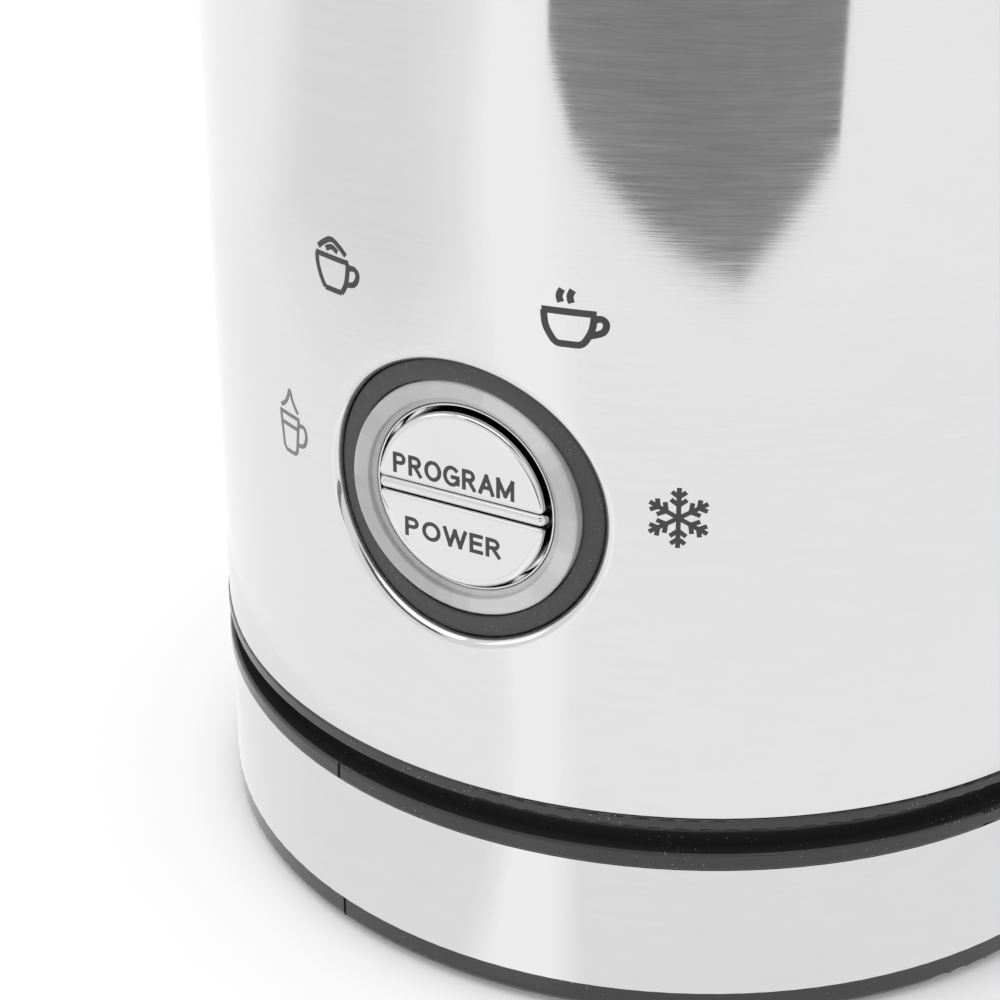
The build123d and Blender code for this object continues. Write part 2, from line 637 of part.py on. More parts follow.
def inner_cup():
    flange_top = Z_SHELL_TOP
    corner = 6.0
    inside = corner - CUP_WALL
    bend = cos(radians(45))
    outer = Polyline(
        (CUP_RADIUS, 0, Z_CUP_UNDERSIDE + corner),
        (CUP_RADIUS, 0, flange_top - CUP_WALL),
        (CUP_RADIUS + CUP_FLANGE, 0, flange_top - CUP_WALL),
        (CUP_RADIUS + CUP_FLANGE, 0, flange_top),
        (CUP_BORE, 0, flange_top),
        (CUP_BORE, 0, Z_CUP_UNDERSIDE + corner),
    )
    inner_bend = ThreePointArc(
        (CUP_BORE, 0, Z_CUP_UNDERSIDE + corner),
        (CUP_BORE - inside * (1 - bend), 0, Z_CUP_FLOOR + inside * (1 - bend)),
        (CUP_RADIUS - corner, 0, Z_CUP_FLOOR),
    )
    floor = Polyline(
        (CUP_RADIUS - corner, 0, Z_CUP_FLOOR),
        (0, 0, Z_CUP_FLOOR),
        (0, 0, Z_CUP_UNDERSIDE),
        (CUP_RADIUS - corner, 0, Z_CUP_UNDERSIDE),
    )
    outer_bend = ThreePointArc(
        (CUP_RADIUS - corner, 0, Z_CUP_UNDERSIDE),
        (CUP_RADIUS - corner * (1 - bend), 0, Z_CUP_UNDERSIDE + corner * (1 - bend)),
        (CUP_RADIUS, 0, Z_CUP_UNDERSIDE + corner),
    )
    return revolve(make_face(outer + inner_bend + floor + outer_bend), axis=Axis.Z)


def whisk_pin():
    pin = disc(WHISK_PIN_RADIUS, Z_CUP_FLOOR, Z_HUB_BORE_TOP - PIN_TOP_GAP)
    pin = fillet(pin.edges().group_by(Axis.Z)[-1], WHISK_PIN_RADIUS * 0.6)
    return pin + disc(WHISK_PIN_RADIUS + 1.5, Z_CUP_FLOOR, Z_CUP_FLOOR + WHISK_FLOOR_GAP / 2)


def spout_plan(reach, half_width, height, tip_round):
    """The spout seen from above: a triangle with a rounded tip, at one height."""
    root = -(BODY_RADIUS - SPOUT_ROOT)
    corners = [(root, -half_width), (-(BODY_RADIUS + reach), 0), (root, half_width)]
    face = make_face(Polyline(*corners, close=True))
    tip = face.vertices().sort_by(Axis.X)[0]
    return Pos(0, 0, height) * fillet(tip, tip_round)


def rim_ring():
    body = spin([
        (SKIRT_RADIUS, Z_SHELL_TOP - RIM_SKIRT),
        (SKIRT_RADIUS, Z_SHELL_TOP),
        (BODY_RADIUS, Z_SHELL_TOP),
        (BODY_RADIUS, Z_RIM_TOP),
        (RIM_BORE + LID_SEAT_WIDTH, Z_RIM_TOP),
        (RIM_BORE + LID_SEAT_WIDTH, Z_LID_SEAT),
        (RIM_BORE, Z_LID_SEAT),
        (RIM_BORE, Z_SHELL_TOP + SEAT),
        (CUP_RADIUS + CUP_FLANGE + SEAT, Z_SHELL_TOP + SEAT),
        (CUP_RADIUS + CUP_FLANGE + SEAT, Z_SHELL_TOP - RIM_SKIRT),
    ])
    body = fillet(round_edges(body, BODY_RADIUS).sort_by(Axis.Z)[-1], RIM_TOP_ROUND)
    top = spout_plan(SPOUT_REACH, SPOUT_HALF_WIDTH, Z_RIM_TOP, SPOUT_TIP_ROUND)
    toe = spout_plan(SPOUT_TOE_REACH, SPOUT_HALF_WIDTH / 3, Z_RIM_TOP - SPOUT_DROP, SPOUT_TOE_ROUND)
    spout = loft([top, toe]) - disc(BODY_RADIUS + SEAT, Z_SHELL_TOP - SPOUT_DROP, Z_SHELL_TOP)
    spout -= disc(BODY_RADIUS - 1, Z_SHELL_TOP - SPOUT_DROP, Z_RIM_TOP)
    channel_reach = SPOUT_REACH - SPOUT_WALL
    channel_half = SPOUT_HALF_WIDTH - SPOUT_WALL
    tip_round = SPOUT_TIP_ROUND - SPOUT_WALL / 2
    channel_top = spout_plan(channel_reach, channel_half, Z_RIM_TOP, tip_round)
    channel_low = spout_plan(channel_reach / 3, channel_half / 2, Z_SHELL_TOP + SPOUT_FLOOR, tip_round)
    throat = block((-BODY_RADIUS, -CUP_BORE), (-channel_half / 2, channel_half / 2),
                   (Z_SHELL_TOP + SPOUT_FLOOR, Z_RIM_TOP))
    throat -= disc(RIM_BORE - SLIP, Z_SHELL_TOP, Z_RIM_TOP)
    return body + spout - loft([channel_top, channel_low]) - throat


# ---- Heating and drive --------------------------------------------------------------------------

def heating_plate():
    return ring(HEATER_RADIUS, HEATER_HOLE_RADIUS, Z_HEATER, Z_CUP_UNDERSIDE)


def heating_element():
    section = Pos(ELEMENT_RADIUS, 0, Z_HEATER - ELEMENT_HEIGHT / 2) * Rot(90, 0, 0)
    profile = section * RectangleRounded(ELEMENT_WIDTH, ELEMENT_HEIGHT, ELEMENT_HEIGHT * 0.3)
    start = (360 - ELEMENT_SWEEP) / 2
    element = Rot(0, 0, start) * revolve(profile, axis=Axis.Z, revolution_arc=ELEMENT_SWEEP)
    end_angles = (start + 5, start + ELEMENT_SWEEP - 5)
    for x, y in on_circle(ELEMENT_RADIUS, end_angles):
        element += disc(TERMINAL_RADIUS, Z_ELEMENT - TERMINAL_LENGTH, Z_ELEMENT + 1, x, y)
    return element


def sensor_circle(radius):
    """Centre distance of a piece that sits outside the heating element."""
    return ELEMENT_RADIUS + ELEMENT_WIDTH / 2 + SENSOR_CLEARANCE + radius


def thermostat():
    x, y = on_circle(sensor_circle(SENSOR_RADIUS), [SENSOR_ANGLE])[0]
    low = Z_HEATER - SENSOR_HEIGHT
    tab_levels = (low - TAB_LENGTH, low)
    body = disc(SENSOR_RADIUS, low, Z_HEATER, x, y)
    tabs = block((x - TAB_SPREAD, x + TAB_SPREAD), (y - TAB_THICK / 2, y + TAB_THICK / 2), tab_levels)
    gap = block((x - TAB_GAP / 2, x + TAB_GAP / 2), (y - TAB_THICK, y + TAB_THICK), tab_levels)
    return body + tabs - gap


def thermal_fuse():
    x, y = on_circle(sensor_circle(FUSE_RADIUS), [60])[0]
    barrel = Rot(0, 90, 0) * Cylinder(FUSE_RADIUS, FUSE_LENGTH)
    return Pos(x, y, Z_HEATER - FUSE_RADIUS - SEAT) * Rot(0, 0, 150) * barrel


def motor_bracket():
    top = Z_BRACKET + BRACKET_THICK
    bracket = disc(MOTOR_RADIUS + 3, Z_BRACKET, top)
    for angle in STANDOFF_ANGLES:
        arm = block((0, STANDOFF_CIRCLE), (-BRACKET_ARM / 2, BRACKET_ARM / 2), (Z_BRACKET, top))
        bracket += Rot(0, 0, angle) * arm
    for x, y in on_circle(STANDOFF_CIRCLE, STANDOFF_ANGLES):
        bracket += disc(BRACKET_ARM / 2, Z_BRACKET, top, x, y)
        bracket += disc(STANDOFF_RADIUS, Z_COVER_FLOOR, Z_BRACKET, x, y)
        bracket -= disc(SCREW_RADIUS + SEAT, Z_COVER_FLOOR, Z_COVER_FLOOR + STANDOFF_BORE_DEPTH, x, y)
    for x in (-MOTOR_SCREW_CIRCLE, MOTOR_SCREW_CIRCLE):
        bracket -= disc(SMALL_SCREW_RADIUS + SCREW_CLEARANCE, Z_BRACKET, top, x)
    return bracket - disc(MOTOR_BOSS_RADIUS + SLIP, Z_BRACKET, top)


def motor_can():
    low = Z_MOTOR + MOTOR_CAP_THICK
    can = disc(MOTOR_RADIUS, low, Z_BRACKET)
    can -= disc(MOTOR_RADIUS - MOTOR_WALL, low, Z_BRACKET - MOTOR_WALL)
    can += disc(MOTOR_BOSS_RADIUS, Z_BRACKET - MOTOR_WALL, Z_BRACKET + BRACKET_THICK)
    for x in (-MOTOR_SCREW_CIRCLE, MOTOR_SCREW_CIRCLE):
        can -= disc(SMALL_SCREW_RADIUS + SEAT, Z_BRACKET - MOTOR_WALL, Z_BRACKET, x)
    return can - disc(SHAFT_RADIUS + RUNNING, low, Z_BRACKET + BRACKET_THICK)


def motor_end_cap():
    top = Z_MOTOR + MOTOR_CAP_THICK
    cap = disc(MOTOR_RADIUS, Z_MOTOR, top)
    for x in (-LEAD_OFFSET, LEAD_OFFSET):
        cap += block((x - LEAD_TAB / 2, x + LEAD_TAB / 2), (0, MOTOR_RADIUS + LEAD_TAB_REACH), (Z_MOTOR, top))
    return cap - disc(SHAFT_RADIUS + RUNNING, Z_MOTOR + END_WALL, top)


def motor_screws():
    shape = Rot(180, 0, 0) * screw(SMALL_SCREW_RADIUS, 3, SMALL_HEAD_RADIUS, SMALL_HEAD_HEIGHT)
    top = Z_BRACKET + BRACKET_THICK
    return group([Pos(x, 0, top) * shape for x in (-MOTOR_SCREW_CIRCLE, MOTOR_SCREW_CIRCLE)])


def motor_rotor():
    shaft = disc(SHAFT_RADIUS, Z_MOTOR + END_WALL + MOVING, Z_DRIVE_TOP - 2)
    low = Z_MOTOR + MOTOR_CAP_THICK + ARMATURE_END_GAP
    return shaft + disc(ARMATURE_RADIUS, low, Z_BRACKET - MOTOR_WALL - ARMATURE_END_GAP)


def magnet_carrier():
    low = Z_DRIVE_TOP - DRIVE_THICK
    carrier = disc(DRIVE_RADIUS, low, Z_DRIVE_TOP)
    carrier += disc(SHAFT_RADIUS + 2.4, low - DRIVE_HUB_DEPTH, low)
    for x in (-MAGNET_CIRCLE, MAGNET_CIRCLE):
        carrier -= disc(MAGNET_RADIUS + SEAT, Z_DRIVE_TOP - MAGNET_HEIGHT, Z_DRIVE_TOP, x)
    return carrier - disc(SHAFT_RADIUS + SEAT, low - DRIVE_HUB_DEPTH, Z_DRIVE_TOP - 1.5)


def carrier_magnets():
    spots = (-MAGNET_CIRCLE, MAGNET_CIRCLE)
    return group([disc(MAGNET_RADIUS, Z_DRIVE_TOP - MAGNET_HEIGHT, Z_DRIVE_TOP, x) for x in spots])


def power_board_y():
    return (MOTOR_RADIUS + 3.5, MOTOR_RADIUS + 3.5 + POWER_BOARD_DEPTH)


def power_post_spots():
    far = power_board_y()[1] - POWER_POST_INSET
    offset = POWER_BOARD_WIDTH / 2 - POWER_POST_INSET
    return [(-offset, far), (offset, far)]


def power_board():
    half = POWER_BOARD_WIDTH / 2
    board = block((-half, half), power_board_y(), (Z_POWER_BOARD, Z_POWER_BOARD + BOARD_THICK))
    for x, y in power_post_spots():
        board -= disc(SMALL_SCREW_RADIUS + SCREW_CLEARANCE, Z_POWER_BOARD, Z_BRACKET, x, y)
    return board


def power_relay():
    width, depth, height = RELAY_SIZE
    y = sum(power_board_y()) / 2 + 3
    low = Z_POWER_BOARD + BOARD_THICK
    return block((-width / 2, width / 2), (y - depth / 2, y + depth / 2), (low, low + height))


def board_screws():
    """Two for the power board, from above, and two for the control board, from behind."""
    small = screw(SMALL_SCREW_RADIUS, BOARD_THICK + 2, SMALL_HEAD_RADIUS, SMALL_HEAD_HEIGHT)
    down = Rot(180, 0, 0) * small
    top = Z_POWER_BOARD + BOARD_THICK
    screws = [Pos(x, y, top) * down for x, y in power_post_spots()]
    back = BOARD_FRONT - BOARD_THICK
    lug_depth = HOUSING_FRONT - HOUSING_THICK - back - SLIP
    short = screw(SMALL_SCREW_RADIUS, lug_depth, SMALL_HEAD_RADIUS, SMALL_HEAD_HEIGHT)
    screws += [Pos(x, -back, Z_BUTTON) * Rot(90, 0, 0) * short for x in (-BOARD_SCREW_X, BOARD_SCREW_X)]
    return group(screws)


def motor_leads():
    leads = []
    base = Z_MOTOR + MOTOR_CAP_THICK
    top = max(Z_POWER_BOARD + BOARD_THICK, base) + LEAD_RISE
    near = MOTOR_RADIUS + 1.8
    far = power_board_y()[0] + 3
    for x in (-LEAD_OFFSET, LEAD_OFFSET):
        route = FilletPolyline((x, near, base), (x, near, top), (x, far, top),
                               (x, far, Z_POWER_BOARD + BOARD_THICK), radius=LEAD_BEND)
        leads.append(sweep(Plane(route @ 0, z_dir=route % 0) * Circle(LEAD_RADIUS), path=route))
    return group(leads)


# ---- Button group -------------------------------------------------------------------------------

def control_housing():
    bore = LIGHT_RING_RADIUS + SEAT
    back = BOARD_FRONT
    housing = front_ring(COLLAR_BORE - SLIP, bore, back, HOUSING_FRONT)
    housing += front_ring(HOUSING_RADIUS, bore, HOUSING_FRONT - HOUSING_THICK, HOUSING_FRONT)
    for x in (-BOARD_SCREW_X, BOARD_SCREW_X):
        lug = front_disc(LUG_RADIUS, back, HOUSING_FRONT - HOUSING_THICK, x)
        lug -= front_disc(bore, back, HOUSING_FRONT)
        housing += lug - front_disc(SMALL_SCREW_RADIUS + SEAT, back, HOUSING_FRONT - HOUSING_THICK, x)
    return housing


def gasket():
    body = front_ring(COLLAR_BORE - SEAT, LIGHT_RING_RADIUS + SEAT, HOUSING_FRONT, BODY_RADIUS)
    return body & disc(BODY_RADIUS - GASKET_SETBACK, Z_SHELL, Z_SHELL_TOP)


def light_ring():
    front = BODY_RADIUS - LIGHT_RING_SETBACK
    back = BOARD_FRONT + LED_HEIGHT + LED_CLEARANCE
    body = front_disc(LIGHT_RING_RADIUS, back, front)
    body = fillet(body.edges().group_by(Axis.Y)[0], EDGE_EASE)
    return body - front_disc(FRAME_RADIUS + SEAT, back, front)


def button_frame():
    """Chromed carrier: a thin ring, a cross bar between the buttons and a floor with two stem holes."""
    front = BODY_RADIUS - FRAME_SETBACK
    frame = front_ring(FRAME_RADIUS, FRAME_RADIUS - FRAME_WALL, FRAME_FLOOR - FRAME_FLOOR_THICK, front)
    frame += front_disc(FRAME_RADIUS, FRAME_FLOOR - FRAME_FLOOR_THICK, FRAME_FLOOR)
    bar = front_block(FRAME_RADIUS, FRAME_FLOOR, front, -BAR_WIDTH / 2, BAR_WIDTH / 2)
    bar = fillet(bar.edges().filter_by(Axis.X).group_by(Axis.Y)[0], BAR_WIDTH * 0.35)
    frame += bar & front_disc(FRAME_RADIUS, FRAME_FLOOR, front)
    for rise in (-SWITCH_OFFSET, SWITCH_OFFSET):
        frame -= front_disc(STEM_RADIUS + SCREW_CLEARANCE, BOARD_FRONT, FRAME_FLOOR, 0, rise)
    return frame


def half_button(side):
    """One half of the round button, above the bar for side = 1 and below it for side = -1."""
    back = BUTTON_FACE - BUTTON_THICK
    limits = sorted((side * BUTTON_SPLIT / 2, side * (BUTTON_RADIUS + 1)))
    half = front_disc(BUTTON_RADIUS, back, BUTTON_FACE)
    half &= front_block(BUTTON_RADIUS + 1, back, BUTTON_FACE, *limits)
    half = chamfer(half.edges().group_by(Axis.Y)[0], BUTTON_EDGE)
    stem = front_disc(STEM_RADIUS, PLUNGER_FRONT + SEAT, back, 0, side * SWITCH_OFFSET)
    return half + stem


def function_button():
    return half_button(1)


def power_button():
    return half_button(-1)


def plunger(side):
    back = SWITCH_FRONT - PLUNGER_OVERLAP
    return front_disc(PLUNGER_RADIUS, back, PLUNGER_FRONT, 0, side * SWITCH_OFFSET)


def function_plunger():
    return plunger(1)


def power_plunger():
    return plunger(-1)


def switch(side):
    half = SWITCH_SIZE / 2
    centre = side * SWITCH_OFFSET
    body = front_block(half, BOARD_FRONT, SWITCH_FRONT, centre - half, centre + half)
    well = SWITCH_FRONT - PLUNGER_OVERLAP - BUTTON_TRAVEL - SLIP
    return body - front_disc(PLUNGER_RADIUS + RUNNING, well, SWITCH_FRONT, 0, centre)


def function_switch():
    return switch(1)


def power_switch():
    return switch(-1)


def control_board():
    back = BOARD_FRONT - BOARD_THICK
    board = front_block(BOARD_HALF_WIDTH, back, BOARD_FRONT, -BOARD_HALF_HEIGHT, BOARD_HALF_HEIGHT)
    for x in (-BOARD_SCREW_X, BOARD_SCREW_X):
        board -= front_disc(SMALL_SCREW_RADIUS + SCREW_CLEARANCE, BOARD_FRONT - BOARD_THICK, BOARD_FRONT, x)
    return board


def leds():
    middle = (LIGHT_RING_RADIUS + FRAME_RADIUS) / 2
    half = LED_SIZE / 2
    lamps = []
    for x, rise in on_circle(middle, (45, 135, 225, 315)):
        lamp = front_block(half, BOARD_FRONT, BOARD_FRONT + LED_HEIGHT, rise - half, rise + half)
        lamps.append(Pos(x, 0, 0) * lamp)
    return group(lamps)


# ---- Whisk --------------------------------------------------------------------------------------

def whisk_bush():
    bore = WHISK_PIN_RADIUS + RUNNING
    return ring(bore + BUSH_WALL, bore, Z_WHISK, Z_HUB_BORE_TOP - SLIP)


def whisk_hub():
    bore = WHISK_PIN_RADIUS + RUNNING + BUSH_WALL + RUNNING
    hub = disc(HUB_RADIUS, Z_WHISK, Z_WHISK + HUB_THICK)
    hub += disc(bore + HUB_TUBE_WALL, Z_WHISK, Z_WHISK + HUB_HEIGHT)
    hub -= disc(bore, Z_WHISK, Z_HUB_BORE_TOP)
    hub -= Pos(0, 0, Z_COIL) * Torus(COIL_RADIUS, COIL_THICK)
    for x in (-MAGNET_CIRCLE, MAGNET_CIRCLE):
        hub -= disc(MAGNET_RADIUS + SEAT, Z_WHISK, Z_WHISK + MAGNET_HEIGHT, x)
    return hub


def whisk_magnets():
    spots = (-MAGNET_CIRCLE, MAGNET_CIRCLE)
    return group([disc(MAGNET_RADIUS, Z_WHISK, Z_WHISK + MAGNET_HEIGHT, x) for x in spots])


def whisk_coil():
    return Pos(0, 0, Z_COIL) * Torus(COIL_RADIUS, COIL_THICK - SEAT)


# ---- Handle -------------------------------------------------------------------------------------

def handle_screw_spots():
    """(y, z) of the screws that hold the two arms of the handle."""
    half = HANDLE_SCREW_SPREAD / 2
    return [(side * half, z) for z in (HANDLE_TOP, HANDLE_LOW) for side in (-1, 1)]


def grip_shape():
    """The soft inlay on the side of the handle that the fingers touch."""
    face = HANDLE_X - HANDLE_THICK / 2
    length = HANDLE_HEIGHT - 2 * GRIP_END_GAP
    middle = (HANDLE_TOP + HANDLE_LOW) / 2
    plan = Plane(origin=(face - GRIP_PROUD, 0, middle), x_dir=(0, 1, 0), z_dir=(1, 0, 0))
    strip = extrude(plan * RectangleRounded(GRIP_WIDTH, length, GRIP_WIDTH * 0.45), GRIP_PROUD + GRIP_INLAY)
    return fillet(strip.edges().group_by(Axis.X)[0], GRIP_PROUD * 0.7)


def handle_core():
    root = BODY_RADIUS - 3
    route = FilletPolyline((root, 0, HANDLE_TOP), (HANDLE_X, 0, HANDLE_TOP), (HANDLE_X, 0, HANDLE_LOW),
                           (root, 0, HANDLE_LOW), radius=[HANDLE_TOP_BEND, HANDLE_LOW_BEND])
    start = Plane(origin=route @ 0, x_dir=(0, 1, 0), z_dir=(1, 0, 0))
    section = start * RectangleRounded(HANDLE_WIDTH, HANDLE_THICK, HANDLE_ROUND)
    handle = sweep(section, path=route)
    for z in (HANDLE_TOP, HANDLE_LOW):
        plan = Plane(origin=(root, 0, z), x_dir=(0, 1, 0), z_dir=(1, 0, 0))
        outline = RectangleRounded(HANDLE_PAD_WIDTH, HANDLE_PAD_HEIGHT, HANDLE_PAD_HEIGHT * 0.4)
        pad = extrude(plan * outline, 9)
        handle += pad & disc(BODY_RADIUS + HANDLE_PAD_THICK, Z_SHELL, Z_SHELL_TOP)
    handle -= disc(BODY_RADIUS + SEAT, Z_SHELL, Z_SHELL_TOP)
    for y, z in handle_screw_spots():
        depth = HANDLE_SCREW_LENGTH + BODY_RADIUS
        bore = Cylinder(SCREW_RADIUS + SEAT, depth, align=LEVELS)
        handle -= Pos(0, y, z) * Rot(0, 90, 0) * bore
    return handle - grip_shape()


def handle_grip():
    return grip_shape()


def handle_screws():
    shape = Rot(0, 90, 0) * screw(SCREW_RADIUS, HANDLE_SCREW_LENGTH, SCREW_HEAD_RADIUS, SCREW_HEAD_HEIGHT)
    half = HANDLE_SCREW_SPREAD / 2
    seat = (SHELL_BORE ** 2 - (half + SCREW_HEAD_RADIUS) ** 2) ** 0.5 - SEAT
    return group([Pos(seat, y, z) * shape for y, z in handle_screw_spots()])


# ---- Lid ----------------------------------------------------------------------------------------

def lid_cover():
    low = Z_LID_SEAT + SLIP
    top = low + LID_FLANGE_THICK
    skirt_low = low - LID_SKIRT_DEPTH - SEAL_HEIGHT
    middle = (LID_RADIUS / 2, 0, top + LID_RISE * 0.75)
    dome = ThreePointArc((LID_RADIUS, 0, top), middle, (0, 0, top + LID_RISE))
    crown = Polyline((0, 0, top + LID_RISE), (0, 0, low + LID_RISE))
    under = ThreePointArc((0, 0, low + LID_RISE), (LID_SKIRT_RADIUS / 2, 0, low + LID_RISE * 0.75),
                          (LID_SKIRT_RADIUS - LID_SKIRT_WALL, 0, low))
    sides = Polyline(
        (LID_SKIRT_RADIUS - LID_SKIRT_WALL, 0, low),
        (LID_SKIRT_RADIUS - LID_SKIRT_WALL, 0, skirt_low),
        (LID_SKIRT_RADIUS, 0, skirt_low),
        (LID_SKIRT_RADIUS, 0, low),
        (LID_RADIUS, 0, low),
        (LID_RADIUS, 0, top),
    )
    cover = revolve(make_face(dome + crown + under + sides), axis=Axis.Z)
    return cover - disc(SCREW_RADIUS + SCREW_CLEARANCE, low, top + LID_RISE + 1)


def lid_seal():
    low = Z_LID_SEAT + SLIP - LID_SKIRT_DEPTH - SEAL_HEIGHT + 1
    body_radius = LID_SKIRT_RADIUS + SEAL_BODY
    fin_radius = CUP_BORE - SEAL_GAP
    outline = [(LID_SKIRT_RADIUS + SEAT, low), (body_radius, low)]
    for step in (1, 3):
        foot = low + step * SEAL_HEIGHT / 5
        outline += [(body_radius, foot), (fin_radius, foot + FIN_THICK / 2)]
        outline += [(fin_radius, foot + FIN_THICK * 0.9), (body_radius, foot + FIN_THICK)]
    outline += [(body_radius, low + SEAL_HEIGHT), (LID_SKIRT_RADIUS + SEAT, low + SEAL_HEIGHT)]
    return spin(outline)


def knob_base():
    return Z_LID_SEAT + SLIP + LID_FLANGE_THICK + LID_RISE + SEAT


def lid_knob():
    low = knob_base()
    top = low + KNOB_HEIGHT
    knob = spin([
        (0, low),
        (KNOB_NECK_RADIUS, low),
        (KNOB_NECK_RADIUS - 1, low + KNOB_HEIGHT * 0.4),
        (KNOB_RADIUS, low + KNOB_HEIGHT * 0.6),
        (KNOB_RADIUS, top),
        (0, top),
    ])
    knob = fillet(round_edges(knob, KNOB_RADIUS), KNOB_EASE)
    return knob - disc(SCREW_RADIUS + SEAT, low, low + KNOB_SCREW_DEPTH + 1)


def knob_screw():
    shape = screw(SCREW_RADIUS, LID_FLANGE_THICK + KNOB_SCREW_DEPTH, SCREW_HEAD_RADIUS, SCREW_HEAD_HEIGHT)
    return Pos(0, 0, Z_LID_SEAT + SLIP + LID_RISE) * shape


# ---- Output -------------------------------------------------------------------------------------

NODES = (
    base_foot_plate, rubber_feet, base_band, base_top_plate, base_connector, centre_pin, contact_ring,
    base_terminals, base_screws, cord_gland, cord_clamp, clamp_screws,
    contact_carrier, sleeve_contact, centre_contact,
    jug_shell, jug_bottom_cover, jug_socket, bottom_screws, inner_cup, whisk_pin, rim_ring,
    heating_plate, heating_element, thermostat, thermal_fuse, motor_bracket, motor_can, motor_end_cap,
    motor_screws, power_board, power_relay, board_screws, motor_leads,
    control_housing, gasket, light_ring, button_frame, control_board, leds, function_switch, power_switch,
    handle_core, handle_grip, handle_screws,
    motor_rotor, magnet_carrier, carrier_magnets,
    whisk_bush, whisk_hub, whisk_magnets, whisk_coil,
    function_button, function_plunger, power_button, power_plunger,
    lid_cover, lid_seal, lid_knob, knob_screw,
)

os.makedirs("parts", exist_ok=True)
for make_node in NODES:
    export_step(make_node(), f"parts/{make_node.__name__}.step")
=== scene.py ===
"""Milk frother on its power base: procedural finishes, finer visible pieces, stage and camera."""
import json
import math

import bmesh
import bpy
from mathutils import Euler, Matrix, Vector


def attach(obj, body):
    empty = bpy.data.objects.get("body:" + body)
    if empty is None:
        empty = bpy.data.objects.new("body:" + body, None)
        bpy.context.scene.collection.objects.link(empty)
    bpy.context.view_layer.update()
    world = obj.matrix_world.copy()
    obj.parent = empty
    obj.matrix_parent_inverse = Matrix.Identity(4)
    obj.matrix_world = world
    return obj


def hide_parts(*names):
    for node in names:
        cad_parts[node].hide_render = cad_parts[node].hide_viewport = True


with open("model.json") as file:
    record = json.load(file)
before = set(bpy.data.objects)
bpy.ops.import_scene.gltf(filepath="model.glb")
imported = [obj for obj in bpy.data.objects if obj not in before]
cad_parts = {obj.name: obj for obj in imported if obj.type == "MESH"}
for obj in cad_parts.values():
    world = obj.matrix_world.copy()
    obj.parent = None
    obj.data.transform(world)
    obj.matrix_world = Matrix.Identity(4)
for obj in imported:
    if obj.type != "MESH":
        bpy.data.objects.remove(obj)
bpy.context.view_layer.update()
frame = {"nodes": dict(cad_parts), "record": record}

MM = 0.001
NODES = frame["nodes"]
RECORD = frame["record"]

# Sizes shared with the CAD model, in millimetres.
BODY_RADIUS = 52.5
SHELL_LOW, SHELL_HIGH, SHELL_WALL = 24.8, 159.8, 0.8
BUTTON_CENTRE = 55.7
COLLAR_BORE, EDGE_ROLL, COLLAR_BACK = 14.4, 1.05, -48.5
PATCH_DEGREES = 24


# ---------------------------------------------------------------- node trees

class Wire:
    """An output socket that takes part in sums."""

    def __init__(self, shop, socket):
        self.shop, self.socket = shop, socket

    def sum(self, operation, *values):
        return self.shop.node("ShaderNodeMath", {"operation": operation}, list(values))

    def __add__(self, other):
        return self.sum("ADD", self, other)

    def __sub__(self, other):
        return self.sum("SUBTRACT", self, other)

    def __rsub__(self, other):
        return self.sum("SUBTRACT", other, self)

    def __mul__(self, other):
        return self.sum("MULTIPLY", self, other)

    def __truediv__(self, other):
        return self.sum("DIVIDE", self, other)

    __radd__, __rmul__ = __add__, __mul__

    def sine(self):
        return self.sum("SINE", self)

    def cosine(self):
        return self.sum("COSINE", self)

    def clamp(self):
        return self.shop.node("ShaderNodeClamp", {}, [self, 0.0, 1.0])

    def between(self, low, high):
        """0 below low, 1 above high, straight in between."""
        return ((self - low) / (high - low)).clamp()


class Shop:
    """Adds nodes to a shader or geometry tree and links them."""

    def __init__(self, tree):
        self.tree = tree

    def node(self, kind, settings=None, sockets=(), out=0):
        """Adds a node: its settings first, then its sockets' values or links."""
        made = self.tree.nodes.new(kind)
        for name, value in (settings or {}).items():
            if name == "stops":
                fill_ramp(made.color_ramp, value)
            else:
                setattr(made, name, value)
        pairs = sockets.items() if isinstance(sockets, dict) else enumerate(sockets)
        for key, value in pairs:
            self.join(made.inputs[key], value)
        return Wire(self, made.outputs[out]) if len(made.outputs) else made

    def join(self, socket, value):
        if isinstance(value, Wire):
            self.tree.links.new(value.socket, socket)
        elif value is not None:
            socket.default_value = value

    def mix(self, share, first, second):
        """Colour mix by share."""
        settings = {"data_type": "RGBA", "clamp_factor": True}
        return self.node("ShaderNodeMix", settings, {0: share, 6: colour(first), 7: colour(second)}, 2)

    def split(self, vector):
        """The three parts of a vector."""
        parts = self.node("ShaderNodeSeparateXYZ", {}, [vector])
        return [Wire(self, part) for part in parts.socket.node.outputs]

    def place(self, scale=(1, 1, 1)):
        """Object coordinates, stretched."""
        spot = self.node("ShaderNodeTexCoord", {}, (), "Object")
        return self.node("ShaderNodeMapping", {}, {"Vector": spot, "Scale": scale})

    def noise(self, scale, detail=3.0, rough=0.5, stretch=(1, 1, 1), twist=0.0):
        sockets = {"Vector": self.place(stretch), "Scale": scale, "Detail": detail,
                   "Roughness": rough, "Distortion": twist}
        return self.node("ShaderNodeTexNoise", {}, sockets)

    def cells(self, scale):
        return self.node("ShaderNodeTexVoronoi", {}, {"Vector": self.place(), "Scale": scale})

    def bump(self, height, strength, distance, below=None):
        sockets = {"Strength": strength, "Distance": distance, "Height": height, "Normal": below}
        return self.node("ShaderNodeBump", {}, sockets)


def colour(value):
    if isinstance(value, Wire):
        return value
    if isinstance(value, (int, float)):
        return (value, value, value, 1.0)
    return tuple(value)[:3] + (1.0,)


def fill_ramp(ramp, stops):
    while len(ramp.elements) < len(stops):
        ramp.elements.new(0.5)
    for element, (place, tone) in zip(ramp.elements, stops):
        element.position, element.color = place, colour(tone)


